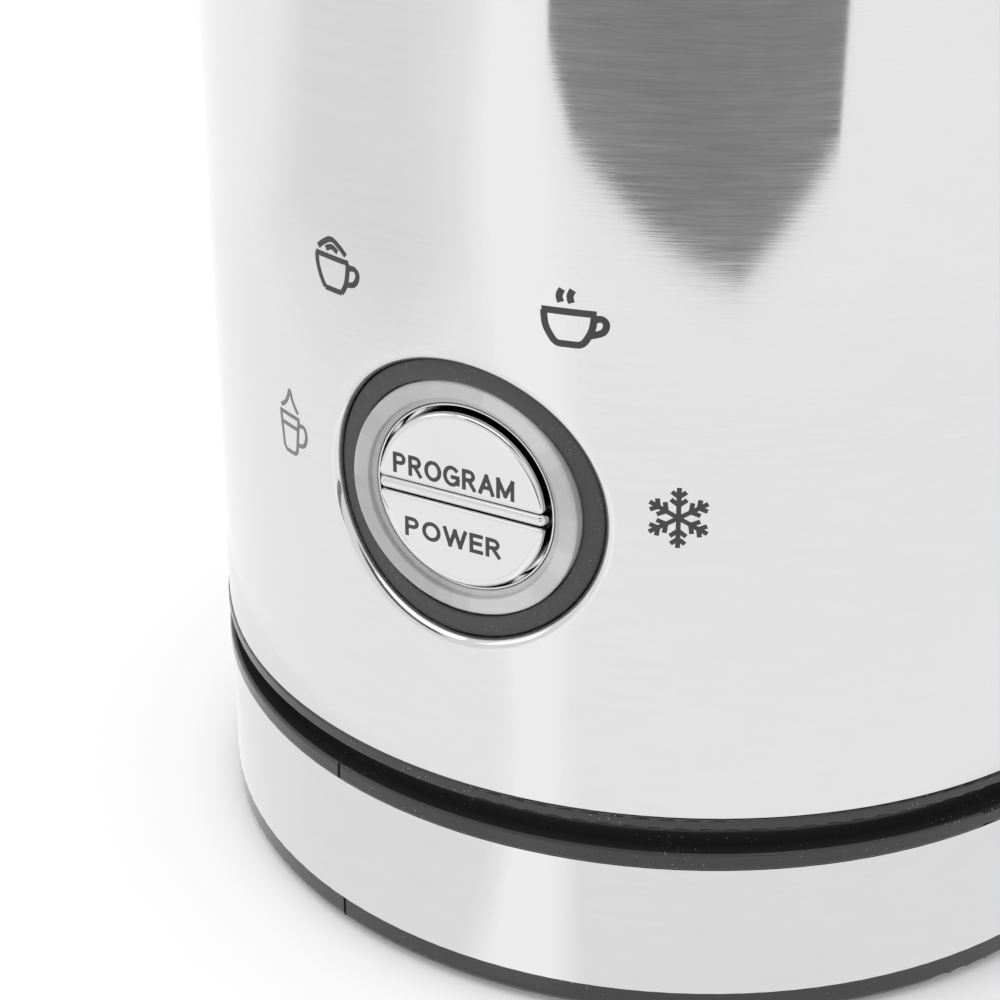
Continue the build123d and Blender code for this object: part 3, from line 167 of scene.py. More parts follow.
def finish(name, dress):
    """A Principled material; dress(shop) returns its sockets."""
    material = bpy.data.materials.new(name)
    material.use_nodes = True
    shop = Shop(material.node_tree)
    shop.tree.nodes.clear()
    surface = shop.node("ShaderNodeBsdfPrincipled", {}, dress(shop))
    shop.node("ShaderNodeOutputMaterial", {}, [surface])
    return material


# ---------------------------------------------------------------- finishes

def brushed_steel(tone, rough, streaks):
    """Steel brushed round the axis: long streaks round the body, fine along its height."""
    def dress(shop):
        fine = shop.noise(1.0, 4.0, 0.6, (230, 230, 8000))
        broad = shop.noise(1.0, 3.0, 0.6, (110, 110, 2200))
        smudge = shop.noise(18.0, 3.0, 0.5)
        grain = fine * 0.6 + broad * 0.4
        shade = tone + (grain - 0.5) * 0.09 + (smudge - 0.5) * 0.03
        base = shop.mix(shade, 0.0, (1.0, 1.0, 1.005))
        gloss = rough + (grain - 0.5) * 0.14 + (smudge - 0.5) * 0.04
        haze = (grain.between(0.42, 0.62) * 0.6 + shop.noise(120.0, 3.0, 0.6).between(0.4, 0.7) * 0.4) * 0.10
        return {"Base Color": base, "Metallic": 1.0 - haze, "Roughness": gloss.clamp(),
                "Anisotropic": 0.40, "Anisotropic Rotation": 0.25,
                "Normal": shop.bump(grain, streaks, 0.00006)}
    return dress


def gloss_black(tone, rough, specks):
    """Moulded gloss black with faint flow marks, hairlines and a little dust."""
    def dress(shop):
        flow = shop.noise(60.0, 3.0, 0.5)
        hair = shop.noise(1.0, 2.0, 0.5, (300, 300, 2500))
        dust = (1.0 - shop.cells(1900.0)).between(0.86, 0.91) * shop.noise(160.0).between(0.50, 0.58)
        gloss = rough + (flow - 0.5) * 0.10 + dust * 0.4
        base = shop.mix(dust * specks, tone, 0.35)
        waves = shop.bump(flow, 0.10, 0.0004)
        return {"Base Color": base, "Roughness": gloss.clamp(), "Specular IOR Level": 0.5,
                "Normal": shop.bump(hair, 0.05, 0.00005, waves)}
    return dress


def matt_grain(tone, rough, scale, strength, fleck=0.0, fleck_tone=0.4, depth=0.00008):
    """Spark-eroded or rubbery grain."""
    def dress(shop):
        grain = shop.noise(scale, 2.0, 0.6)
        cloud = shop.noise(scale * 0.05, 3.0, 0.5)
        points = (1.0 - shop.cells(scale * 0.9)).between(0.80, 0.92)
        spark = points * shop.noise(scale * 0.3).between(0.5, 0.7)
        lift = shop.mix((grain * 0.7 + cloud * 0.3).clamp(), tone * 0.75, tone * 1.3)
        base = shop.mix(spark * fleck, lift, fleck_tone)
        gloss = rough + (cloud - 0.5) * 0.12
        return {"Base Color": base, "Roughness": gloss.clamp(), "Normal": shop.bump(grain, strength, depth)}
    return dress


def coloured(tone, rough, metal, scale=400.0, vary=0.06, strength=0.12):
    """Plain moulded, plated or turned finish with a slight grain and clouding."""
    def dress(shop):
        grain = shop.noise(scale, 3.0, 0.6)
        cloud = shop.noise(scale * 0.08, 3.0, 0.5)
        dark = tuple(c * (1 - vary) for c in tone)
        light = tuple(min(1.0, c * (1 + vary)) for c in tone)
        base = shop.mix((grain * 0.5 + cloud * 0.5).between(0.3, 0.7), dark, light)
        gloss = rough + (cloud - 0.5) * 0.12 + (grain - 0.5) * 0.05
        return {"Base Color": base, "Metallic": metal, "Roughness": gloss.clamp(),
                "Normal": shop.bump(grain, strength, 0.00005)}
    return dress


def chrome(shop):
    """Bright plating with the faintest orange peel."""
    peel = shop.noise(700.0, 2.0, 0.5)
    smear = shop.noise(90.0, 3.0, 0.6)
    base = shop.mix(smear.between(0.3, 0.7), 0.70, 0.74)
    return {"Base Color": base, "Metallic": 1.0, "Roughness": (0.05 + smear * 0.05).clamp(),
            "Normal": shop.bump(peel, 0.03, 0.00005)}


# Steps of the light guide's colour round the ring: painted highlights that stand in for facets catching the
# light.
PAINTED_FACET_HIGHLIGHTS = [(0.0, 0.42), (0.42, 0.43), (0.43, 0.48), (0.51, 0.50), (0.52, 0.55), (0.60, 0.57), (0.61, 0.66)]


def frosted(shop):
    """Translucent light guide: clouded clear plastic, with painted highlights round it: faint facets of
    brightness painted into its colour.
    """
    across, _, height = shop.split(shop.place())
    rise = height - BUTTON_CENTRE * MM
    angle = rise.sum("ARCTAN2", rise, across)
    sockets = {"W": angle + 1.7, "Scale": 0.55, "Detail": 1.0}
    facet = shop.node("ShaderNodeTexNoise", {"noise_dimensions": "1D"}, sockets)
    # The facets' brightness is a painted highlight in the base colour, stepped by the angle round the ring.
    step = shop.node("ShaderNodeValToRGB", {"stops": PAINTED_FACET_HIGHLIGHTS}, [facet])
    cloud = shop.noise(350.0, 3.0, 0.6)
    base = shop.mix(cloud * 0.25, step, 0.92)
    return {"Base Color": base, "Roughness": (0.12 + cloud * 0.18).clamp(), "Transmission Weight": 0.22,
            "IOR": 1.49, "Coat Weight": 0.6, "Coat Roughness": 0.05,
            "Normal": shop.bump(cloud, 0.06, 0.0001)}


def clear_moulding(shop):
    """Clear lid with slight flow lines and fingerprints."""
    flow = shop.noise(22.0, 3.0, 0.5, twist=0.6)
    smears = shop.noise(160.0, 3.0, 0.6)
    gloss = 0.03 + smears.between(0.5, 0.8) * 0.12
    base = shop.mix(flow, (0.93, 0.95, 0.96), (0.97, 0.98, 0.985))
    return {"Base Color": base, "Roughness": gloss.clamp(), "Transmission Weight": 0.94, "IOR": 1.49,
            "Normal": shop.bump(flow, 0.04, 0.0006)}


def soft_silicone(shop):
    """Cloudy grey silicone."""
    cloud = shop.noise(140.0, 3.0, 0.6)
    return {"Base Color": shop.mix(cloud, (0.50, 0.51, 0.52), (0.62, 0.63, 0.64)),
            "Roughness": (0.42 + cloud * 0.15).clamp(), "Transmission Weight": 0.15,
            "Normal": shop.bump(cloud, 0.10, 0.0001)}


def non_stick(shop):
    """Dark coating with fine pale flecks, as on coated cups."""
    fleck = (1.0 - shop.cells(650.0)).between(0.82, 0.88) * shop.noise(90.0).between(0.45, 0.6)
    grain = shop.noise(900.0, 2.0, 0.6)
    base = shop.mix(fleck * 0.6, (0.045, 0.045, 0.047), (0.30, 0.30, 0.29))
    return {"Base Color": base, "Roughness": (0.34 + grain * 0.12).clamp(), "Coat Weight": 0.2,
            "Coat Roughness": 0.2, "Normal": shop.bump(grain, 0.12, 0.00006)}


def circuit_board(shop):
    """Green solder mask with faint tracks."""
    sockets = {"Vector": shop.place(), "Scale": 260.0, "Mortar Size": 0.04, "Color1": colour(0.0),
               "Color2": colour(0.15), "Mortar": colour(1.0)}
    tracks = shop.node("ShaderNodeTexBrick", {}, sockets)
    cloud = shop.noise(300.0)
    base = shop.mix(tracks, (0.015, 0.15, 0.06), (0.06, 0.30, 0.13))
    return {"Base Color": base, "Roughness": (0.25 + cloud * 0.15).clamp(),
            "Normal": shop.bump(tracks, 0.2, 0.00004)}


FINISHES = {
    "shell_steel": brushed_steel(0.70, 0.075, 0.030),
    "black_gloss": gloss_black(0.028, 0.16, 0.9),
    "soft_rubber": matt_grain(0.022, 0.62, 2500.0, 0.35),
    "gasket_rubber": matt_grain(0.044, 0.50, 5200.0, 0.55, 1.0, 0.60),
    "chrome_plate": chrome,
    "frosted_ring": frosted,
    "clear_plastic": clear_moulding,
    "silicone": soft_silicone,
    "non_stick": non_stick,
    "bare_steel": coloured((0.62, 0.62, 0.63), 0.24, 1.0, 900.0, 0.05),
    "contact_brass": coloured((0.76, 0.57, 0.27), 0.22, 1.0, 600.0, 0.06),
    "black_matt": matt_grain(0.028, 0.48, 3200.0, 0.30),
    "white_plastic": coloured((0.76, 0.76, 0.73), 0.38, 0.0),
    "whisk_black": matt_grain(0.022, 0.36, 2600.0, 0.20),
    "cast_aluminium": coloured((0.66, 0.67, 0.68), 0.42, 1.0, 1200.0, 0.10, 0.3),
    "circuit_green": circuit_board,
    "led_lens": coloured((0.88, 0.88, 0.80), 0.12, 0.0),
    "magnet_nickel": coloured((0.66, 0.66, 0.64), 0.16, 1.0),
    "wire_red": coloured((0.42, 0.02, 0.02), 0.34, 0.0),
}
MATERIALS = {name: finish(name, dress) for name, dress in FINISHES.items()}
print_ink = finish("print_ink", coloured((0.034, 0.034, 0.036), 0.46, 0.0, 3000.0, 0.15))
pale_ink = finish("pale_ink", coloured((0.17, 0.17, 0.175), 0.42, 0.0, 3000.0, 0.15))

for entry in RECORD["subparts"]:
    mesh = NODES[entry["node"]].data
    mesh.materials.clear()
    mesh.materials.append(MATERIALS[entry["material_slot"]])


# ---------------------------------------------------------------- mesh helpers

def link(name, mesh, material=None):
    """A new object in the scene."""
    made = bpy.data.objects.new(name, mesh)
    bpy.context.scene.collection.objects.link(made)
    if material:
        mesh.materials.clear()
        mesh.materials.append(material)
    return made


def raw_mesh(name, points, faces=(), edges=()):
    """Mesh from points in millimetres."""
    mesh = bpy.data.meshes.new(name)
    mesh.from_pydata([Vector(p) * MM for p in points], list(edges), list(faces))
    return mesh


def tidy(mesh, merge=0.00001):
    """Welds doubles and turns every face outwards."""
    work = bmesh.new()
    work.from_mesh(mesh)
    bmesh.ops.remove_doubles(work, verts=work.verts, dist=merge)
    bmesh.ops.recalc_face_normals(work, faces=work.faces)
    work.to_mesh(mesh)
    work.free()
    mesh.update()


def bake(made):
    """Replaces an object's mesh by its evaluated one and drops its modifiers."""
    graph = bpy.context.evaluated_depsgraph_get()
    result = bpy.data.meshes.new_from_object(made.evaluated_get(graph))
    result.name = made.name
    made.modifiers.clear()
    made.data = result
    return made


def even_shade(made, angle=40):
    """Smooth faces, crisp above the angle, with flat faces kept flat."""
    mesh = made.data
    mesh.polygons.foreach_set("use_smooth", [True] * len(mesh.polygons))
    work = bmesh.new()
    work.from_mesh(mesh)
    for edge in work.edges:
        edge.smooth = not (edge.is_manifold and edge.calc_face_angle(0) > math.radians(angle))
    work.to_mesh(mesh)
    work.free()
    shade = made.modifiers.new("even", "WEIGHTED_NORMAL")
    shade.keep_sharp = True
    shade.weight = 100
    return bake(made)


def show(made, body, *nodes, finish_slot):
    """Puts the piece on its body, in place of the CAD nodes."""
    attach(made, body)
    if nodes:
        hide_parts(*nodes)
    return made


def tree_modifier(made, tree, **values):
    """Adds a geometry tree and sets its inputs by their identifiers."""
    step = made.modifiers.new(tree.name, "NODES")
    step.node_group = tree
    for item in tree.interface.items_tree:
        if item.item_type == "SOCKET" and item.in_out == "INPUT" and item.name in values:
            step[item.identifier] = values[item.name]
    return step


def new_tree(name, inputs):
    """An empty geometry tree with named inputs; returns the tree, its shop and a reader of inputs."""
    tree = bpy.data.node_groups.new(name, "GeometryNodeTree")
    tree.interface.new_socket("Geometry", in_out="INPUT", socket_type="NodeSocketGeometry")
    for label, kind, value in inputs:
        socket = tree.interface.new_socket(label, in_out="INPUT", socket_type="NodeSocket" + kind)
        if value is not None:
            socket.default_value = value
    tree.interface.new_socket("Geometry", in_out="OUTPUT", socket_type="NodeSocketGeometry")
    shop = Shop(tree)
    source = tree.nodes.new("NodeGroupInput")
    return tree, shop, lambda label: Wire(shop, source.outputs[label])


def end_tree(shop, geometry, material):
    """Realizes, paints and hands on the geometry."""
    solid = shop.node("GeometryNodeRealizeInstances", {}, [geometry])
    painted = shop.node("GeometryNodeSetMaterial", {}, {"Geometry": solid, "Material": material})
    shop.node("NodeGroupOutput", {}, [painted])


# ---------------------------------------------------------------- turned pieces

HUB = 10.0                  # radius of the circle that a profile runs round
WELD, FINE_WELD = 0.000002, 0.0000005


def turning_tree():
    """Turns a profile of edges about the vertical axis. Corners are rounded by their round attribute."""
    tree, shop, given = new_tree("turn_profile", [("Steps", "Int", 128), ("Corner Steps", "Int", 4),
                                                  ("Finish", "Material", None)])
    profile = shop.node("GeometryNodeMeshToCurve", {}, [given("Geometry")])
    radius = shop.node("GeometryNodeInputNamedAttribute", {"data_type": "FLOAT"}, {"Name": "round"})
    sockets = {"Curve": profile, "Count": given("Corner Steps"), "Radius": radius, "Limit Radius": True}
    rounded = shop.node("GeometryNodeFilletCurve", {"mode": "POLY"}, sockets)
    circle = {"Resolution": given("Steps"), "Radius": HUB * MM}
    path = shop.node("GeometryNodeCurvePrimitiveCircle", {}, circle)
    skin = shop.node("GeometryNodeCurveToMesh", {}, {"Curve": path, "Profile Curve": rounded})
    welded = shop.node("GeometryNodeMergeByDistance", {}, {"Geometry": skin, "Distance": WELD})
    end_tree(shop, welded, given("Finish"))
    return tree


TURN = turning_tree()


def turned(name, profile, slot_name, steps=160, corner_steps=4):
    """A piece turned from a closed profile of (radius, height, corner radius) in millimetres."""
    points = [(radius - HUB, -height, 0.0) for radius, height, _ in profile]
    count = len(points)
    edges = [(i, (i + 1) % count) for i in range(count)]
    mesh = raw_mesh(name, points, edges=edges)
    corner = mesh.attributes.new("round", "FLOAT", "POINT")
    corner.data.foreach_set("value", [rounding * MM for _, _, rounding in profile])
    made = link(name, mesh)
    values = {"Steps": steps, "Corner Steps": corner_steps, "Finish": MATERIALS[slot_name]}
    tree_modifier(made, TURN, **values)
    bake(made)
    tidy(made.data, WELD)
    return even_shade(made)


# ---------------------------------------------------------------- the steel shell

ROLL_STEPS = 7              # facets of the rolled edge
SPREAD_STEPS = 12           # rings from the square patch in to the rolled edge
ROWS_BELOW, ROWS_ABOVE = 3, 20


def shell_point(arc, height):
    """A point of the cylinder from its arc from the front and its height."""
    angle = arc / BODY_RADIUS
    return (BODY_RADIUS * math.sin(angle), -BODY_RADIUS * math.cos(angle), height)


def square_walk(half, count):
    """Points round a square, count to a side, from its lower right corner, anticlockwise."""
    step = 2 * half / count
    right = [(half, -half + i * step) for i in range(count)]
    top = [(half - i * step, half) for i in range(count)]
    left = [(-half, half - i * step) for i in range(count)]
    bottom = [(-half + i * step, -half) for i in range(count)]
    return right + top + left + bottom


def recess_rings(side_steps, spread):
    """Rings of points from the square patch in to the back of the recess's collar."""
    half = math.radians(PATCH_DEGREES) * BODY_RADIUS
    outline = COLLAR_BORE + EDGE_ROLL
    walk = square_walk(half, side_steps)
    bearings = [math.atan2(z, s) for s, z in walk]
    rings = []
    for k in range(spread + 1):
        share = k / spread
        ring = []
        for (s, z), bearing in zip(walk, bearings):
            inner_x, inner_z = outline * math.cos(bearing), outline * math.sin(bearing)
            inner_s = BODY_RADIUS * math.asin(inner_x / BODY_RADIUS)
            ring.append(shell_point(s + (inner_s - s) * share, BUTTON_CENTRE + z + (inner_z - z) * share))
        rings.append(ring)
    for k in range(1, ROLL_STEPS + 1):
        turn = math.radians(90) * k / ROLL_STEPS
        reach = outline - EDGE_ROLL * math.sin(turn)
        sink = EDGE_ROLL * (1 - math.cos(turn))
        ring = []
        for bearing in bearings:
            x, z = outline * math.cos(bearing), outline * math.sin(bearing)
            front = -math.sqrt(BODY_RADIUS ** 2 - x ** 2)
            scale = reach / outline
            ring.append((x * scale, front + sink, BUTTON_CENTRE + z * scale))
        rings.append(ring)
    rings.append([(x, COLLAR_BACK, z) for x, _, z in rings[-1]])
    return rings


def shell_skin():
    """The outer surface: a grid of one degree columns with the recess let into its front."""
    columns, side = 360, 2 * PATCH_DEGREES
    step = math.radians(1) * BODY_RADIUS
    low, high = BUTTON_CENTRE - PATCH_DEGREES * step, BUTTON_CENTRE + PATCH_DEGREES * step
    below = [SHELL_LOW + (low - SHELL_LOW) * i / ROWS_BELOW for i in range(ROWS_BELOW)]
    within = [low + (high - low) * i / side for i in range(side + 1)]
    above = [high + (SHELL_HIGH - high) * i / ROWS_ABOVE for i in range(1, ROWS_ABOVE + 1)]
    levels = below + within + above
    points, faces = [], []
    for height in levels:
        for column in range(columns):
            points.append(shell_point((column - 180) * step, height))
    for row in range(len(levels) - 1):
        for column in range(columns):
            front = 180 - PATCH_DEGREES <= column < 180 + PATCH_DEGREES
            if front and len(below) <= row < len(below) + side:
                continue
            after = (column + 1) % columns
            base, top = row * columns, (row + 1) * columns
            faces.append((base + column, base + after, top + after, top + column))
    rings = recess_rings(side, SPREAD_STEPS)
    count = len(rings[0])
    first = len(points)
    for ring in rings:
        points += ring
    for k in range(len(rings) - 1):
        for i in range(count):
            j = (i + 1) % count
            outer, inner = first + k * count, first + (k + 1) * count
            faces.append((outer + i, outer + j, inner + j, inner + i))
    return points, faces


def steel_shell():
    """The jug's steel wall with its rolled button recess."""
    points, faces = shell_skin()
    mesh = raw_mesh("steel_shell", points, faces)
    tidy(mesh)
    made = link("steel_shell", mesh, MATERIALS["shell_steel"])
    wall = made.modifiers.new("wall", "SOLIDIFY")
    wall.thickness, wall.offset, wall.use_even_offset = SHELL_WALL * MM, -1.0, True
    bake(made)
    even_shade(made, 35)
    return show(made, "jug", "jug_shell", finish_slot="shell_steel")


steel_shell()


# ---------------------------------------------------------------- the button group

def front_rings(name, profile, slot_name, count=192, sharp=40):
    """A piece turned about the button's own axis from a closed profile of (radius, y) points.
    A positive y is a depth under the jug's curved surface."""
    points, faces = [], []
    for radius, front in profile:
        for i in range(count):
            turn = 2 * math.pi * i / count
            x, z = radius * math.cos(turn), radius * math.sin(turn)
            y = front if front < 0 else front - math.sqrt(BODY_RADIUS ** 2 - x ** 2)
            points.append((x, y, BUTTON_CENTRE + z))
    rows = len(profile)
    for k in range(rows):
        low, high = k * count, ((k + 1) % rows) * count
        for i in range(count):
            j = (i + 1) % count
            faces.append((low + i, low + j, high + j, high + i))
    made = link(name, raw_mesh(name, points, faces), MATERIALS[slot_name])
    tidy(made.data)
    return even_shade(made, sharp)


def rounded_corner(centre, radius, start, sweep, steps=5):
    """Profile points round a corner, angles in degrees, in (radius, y)."""
    out = []
    for k in range(steps + 1):
        turn = math.radians(start + sweep * k / steps)
        out.append((centre[0] + radius * math.cos(turn), centre[1] + radius * math.sin(turn)))
    return out


GASKET_INNER, GASKET_OUTER, GASKET_BACK = 12.24, 14.32, -47.0
GASKET_SETBACK = 1.0        # under the steel's surface
GASKET_EASE = 0.24
GASKET_CROWN = 0.05


def gasket_profile():
    """Eased edges and a crowned front, which follows the jug's curve."""
    eases = []
    for k in range(6):
        turn = math.radians(90) * k / 5
        depth = GASKET_SETBACK + GASKET_EASE * (1 - math.sin(turn))
        eases.append((GASKET_EASE * (1 - math.cos(turn)), depth))
    front = [(GASKET_INNER + inset, depth) for inset, depth in eases]
    flat = GASKET_OUTER - GASKET_INNER - 2 * GASKET_EASE
    for share in (0.25, 0.5, 0.75):
        crown = GASKET_CROWN * math.sin(math.pi * share)
        front.append((GASKET_INNER + GASKET_EASE + flat * share, GASKET_SETBACK - crown))
    front += [(GASKET_OUTER - inset, depth) for inset, depth in reversed(eases)]
    return [(GASKET_INNER, GASKET_BACK)] + front + [(GASKET_OUTER, GASKET_BACK)]


gasket = front_rings("gasket_ring", gasket_profile(), "gasket_rubber")
show(gasket, "jug", "gasket", finish_slot="gasket_rubber")

guide_profile = ([(9.70, -45.2), (9.70, -50.52)] + rounded_corner((9.84, -50.60), 0.14, 180, 90, 3)
                 + [(10.22, -50.80), (10.34, -51.16)] + rounded_corner((10.52, -51.16), 0.17, -165, 75, 3)
                 + [(11.70, -51.26)] + rounded_corner((11.76, -50.86), 0.40, -85, 85, 4)
                 + [(12.18, -45.2)])
guide = front_rings("light_guide", guide_profile, "frosted_ring", sharp=22)
show(guide, "jug", "light_ring", finish_slot="frosted_ring")


FRAME_BORE, FRAME_RADIUS, FRAME_SHOULDER, FRAME_BACK = 9.40, 9.64, -50.50, -47.6
WELL_RADIUS, WELL_FRONT, WELL_BACK = 9.30, -48.55, -47.62
BAR_LENGTH, BAR_WIDTH, BAR_FRONT, BAR_BACK, BAR_CROWN = 18.3, 1.24, -51.72, -48.5, 0.55


def frame_profile():
    """A thin ring with a round front."""
    half = (FRAME_RADIUS - FRAME_BORE) / 2
    crown = rounded_corner((FRAME_BORE + half, FRAME_SHOULDER - half), half, 180, 180, 8)
    return ([(FRAME_BORE, FRAME_BACK), (FRAME_BORE, FRAME_SHOULDER)] + crown
            + [(FRAME_RADIUS, FRAME_SHOULDER), (FRAME_RADIUS, FRAME_BACK)])


def round_bar(name):
    """The bar between the two buttons: a rounded crown and rounded ends, lying along X."""
    half_width = BAR_WIDTH / 2
    tip = half_width * 1.2
    half = []
    for k in range(7):
        turn = math.radians(90) * k / 6
        half.append((BAR_LENGTH / 2 - tip + tip * math.sin(turn), max(0.02, math.cos(turn))))
    stations = [(-x, share) for x, share in reversed(half)] + half
    section = [(-math.cos(math.radians(a)), math.sin(math.radians(a))) for a in range(0, 181, 15)]
    points, faces = [], []
    for x, share in stations:
        width = half_width * (0.25 + 0.75 * share)
        for across, up in section:
            crown = BAR_FRONT + BAR_CROWN * (1 - up)
            y = crown + (BAR_BACK - crown) * (1 - share) * 0.35
            points.append((x, y, BUTTON_CENTRE + across * width))
        for across in (1.0, -1.0):
            points.append((x, BAR_BACK, BUTTON_CENTRE + across * width))
    row = len(section) + 2
    last = (len(stations) - 1) * row
    for k in range(len(stations) - 1):
        for i in range(row):
            j = (i + 1) % row
            faces.append((k * row + i, k * row + j, (k + 1) * row + j, (k + 1) * row + i))
    faces += [tuple(range(row)), tuple(last + i for i in range(row))]
    made = link(name, raw_mesh(name, points, faces), MATERIALS["chrome_plate"])
    tidy(made.data)
    return even_shade(made, 50)


well_profile = [(0.0, WELL_FRONT), (WELL_RADIUS, WELL_FRONT), (WELL_RADIUS, WELL_BACK), (0.0, WELL_BACK)]
bezel = front_rings("button_bezel", frame_profile(), "chrome_plate", 160)
bezel_floor = front_rings("bezel_floor", well_profile, "chrome_plate", 160)
for piece in (bezel, bezel_floor, round_bar("bezel_bar")):
    show(piece, "jug", "button_frame", finish_slot="chrome_plate")


KEY_FACE, KEY_RADIUS, KEY_SPLIT, KEY_CORNER = -51.70, 9.02, 0.74, 0.48
KEY_ROLL_IN, KEY_ROLL_DOWN = 0.58, 0.52


def half_outline(radius, split, corner, steps=96):
    """Outline of a half disc above the split, with rounded corners, as (x, z), anticlockwise."""
    reach = radius - corner
    rise = split + corner
    centre_x = math.sqrt(reach ** 2 - rise ** 2)
    lean = math.atan2(rise, centre_x)
    out = []
    for k in range(13):
        turn = -math.pi / 2 + (lean + math.pi / 2) * k / 12
        out.append((centre_x + corner * math.cos(turn), rise + corner * math.sin(turn)))
    for k in range(1, steps):
        turn = lean + (math.pi - 2 * lean) * k / steps
        out.append((radius * math.cos(turn), radius * math.sin(turn)))
    out += [(-x, z) for x, z in reversed(out[:13])]
    for k in range(1, 24):
        out.append((-centre_x + 2 * centre_x * k / 24, split))
    return out


def shrink(outline, amount, split):
    """Moves an outline inwards along its normals, less along the straight split."""
    count = len(outline)
    out = []
    for i in range(count):
        (ax, az), (bx, bz) = outline[i - 1], outline[(i + 1) % count]
        along_x, along_z = bx - ax, bz - az
        size = math.hypot(along_x, along_z)
        x, z = outline[i]
        rise = min(1.0, max(0.0, (z - split - 0.4) / 2.4))
        inset = amount * (0.42 + 0.58 * rise * rise * (3 - 2 * rise))
        out.append((x - along_z / size * inset, z + along_x / size * inset))
    return out


def half_key(name, side, body, node):
    """One half of the round button: rolled edge, a fine step and a slightly dished face."""
    outline = half_outline(KEY_RADIUS, KEY_SPLIT, KEY_CORNER)
    rings = [(0.0, KEY_FACE + 2.3), (0.0, KEY_FACE + 0.60)]
    for degrees in range(15, 91, 15):
        turn = math.radians(degrees)
        rings.append((KEY_ROLL_IN * (1 - math.cos(turn)), KEY_FACE + KEY_ROLL_DOWN * (1 - math.sin(turn))))
    rings += [(0.70, KEY_FACE), (0.76, KEY_FACE + 0.035), (0.84, KEY_FACE + 0.04)]
    points, faces = [], []
    count = len(outline)
    for inset, y in rings:
        for x, z in shrink(outline, inset, KEY_SPLIT):
            points.append((x, y, BUTTON_CENTRE + side * z))
    dish = [(0.8, 0.043), (0.55, 0.047), (0.3, 0.050), (0.1, 0.050)]
    last = shrink(outline, rings[-1][0], KEY_SPLIT)
    middle = sum(z for _, z in last) / count
    for scale, sink in dish:
        for x, z in last:
            rise = middle + (z - middle) * scale
            points.append((x * scale, KEY_FACE + sink, BUTTON_CENTRE + side * rise))
    rows = len(rings) + len(dish)
    for k in range(rows - 1):
        for i in range(count):
            j = (i + 1) % count
            faces.append((k * count + i, k * count + j, (k + 1) * count + j, (k + 1) * count + i))
    faces.append(tuple(range(count)))
    faces.append(tuple((rows - 1) * count + i for i in range(count)))
    made = link(name, raw_mesh(name, points, faces), MATERIALS["chrome_plate"])
    tidy(made.data)
    even_shade(made, 60)
    return show(made, body, node, finish_slot="chrome_plate")


half_key("program_key", 1, "function_key", "function_button")
half_key("power_key_cap", -1, "power_key", "power_button")


# ---------------------------------------------------------------- printed words and signs

def stroke_tree(name, wrapped):
    """Sweeps flat strokes drawn in X and Z and lays them round the jug, or on a flat button face."""
    named = [("Radius", "Float", BODY_RADIUS * MM), ("Stroke", "Float", 0.00024),
             ("Flatness", "Float", 0.05), ("Finish", "Material", None)]
    tree, shop, given = new_tree(name, named)
    drawn = shop.node("GeometryNodeMeshToCurve", {}, [given("Geometry")])
    strokes = shop.node("GeometryNodeResampleCurve", {"mode": "LENGTH"}, {"Curve": drawn, "Length": 0.00018})
    nib = shop.node("GeometryNodeCurvePrimitiveCircle", {}, {"Resolution": 8, "Radius": given("Stroke")})
    sweep = {"Curve": strokes, "Profile Curve": nib, "Fill Caps": True}
    skin = shop.node("GeometryNodeCurveToMesh", {}, sweep)
    across, depth, height = shop.split(shop.node("GeometryNodeInputPosition"))
    reach = given("Radius") - depth * given("Flatness")
    x, y = across, reach * -1.0
    if wrapped:
        angle = across / given("Radius")
        x, y = reach * angle.sine(), reach * angle.cosine() * -1.0
    laid = shop.node("ShaderNodeCombineXYZ", {}, [x, y, height])
    moved = shop.node("GeometryNodeSetPosition", {}, {"Geometry": skin, "Position": laid})
    end_tree(shop, moved, given("Finish"))
    return tree


ROUND_PRINT = stroke_tree("print_round_jug", True)
FLAT_PRINT = stroke_tree("print_on_face", False)


def bend(points, steps=5):
    """Smooth line through the points (Catmull-Rom)."""
    out = []
    padded = [points[0]] + list(points) + [points[-1]]
    for i in range(1, len(padded) - 2):
        a, b, c, d = (Vector(p) for p in padded[i - 1:i + 3])
        for k in range(steps):
            t = k / steps
            out.append(tuple(0.5 * (2 * b + (c - a) * t + (2 * a - 5 * b + 4 * c - d) * t * t
                                    + (3 * b - a - 3 * c + d) * t ** 3)))
    return out + [tuple(points[-1])]


def ring_line(centre, radius_x, radius_z, start, sweep, steps=12):
    """Part of an oval, from a start angle over a sweep, in degrees."""
    turns = [math.radians(start + sweep * k / steps) for k in range(steps + 1)]
    return [(centre[0] + radius_x * math.cos(turn), centre[1] + radius_z * math.sin(turn)) for turn in turns]


def printed(name, lines, reach, tree, ink, stroke, body):
    """Strokes of ink along lines of (x, z) millimetres, lying at reach from the axis."""
    points, edges = [], []
    for line in lines:
        start = len(points)
        points += [(x, 0.0, z) for x, z in line]
        edges += [(start + i, start + i + 1) for i in range(len(line) - 1)]
    made = link(name, raw_mesh(name, points, edges=edges))
    tree_modifier(made, tree, Radius=reach * MM, Stroke=stroke * MM, Flatness=0.05, Finish=ink)
    bake(made)
    tidy(made.data, FINE_WELD)
    return show(made, body, finish_slot="black_matt")


def printed_sign(name, lines, arc, rise, ink, stroke):
    """A sign on the steel, drawn about its own centre, which lies at arc and rise from the button."""
    placed = [[(arc + x, BUTTON_CENTRE + rise + z) for x, z in line] for line in lines]
    return printed(name, placed, BODY_RADIUS + 0.004, ROUND_PRINT, ink, stroke, "jug")


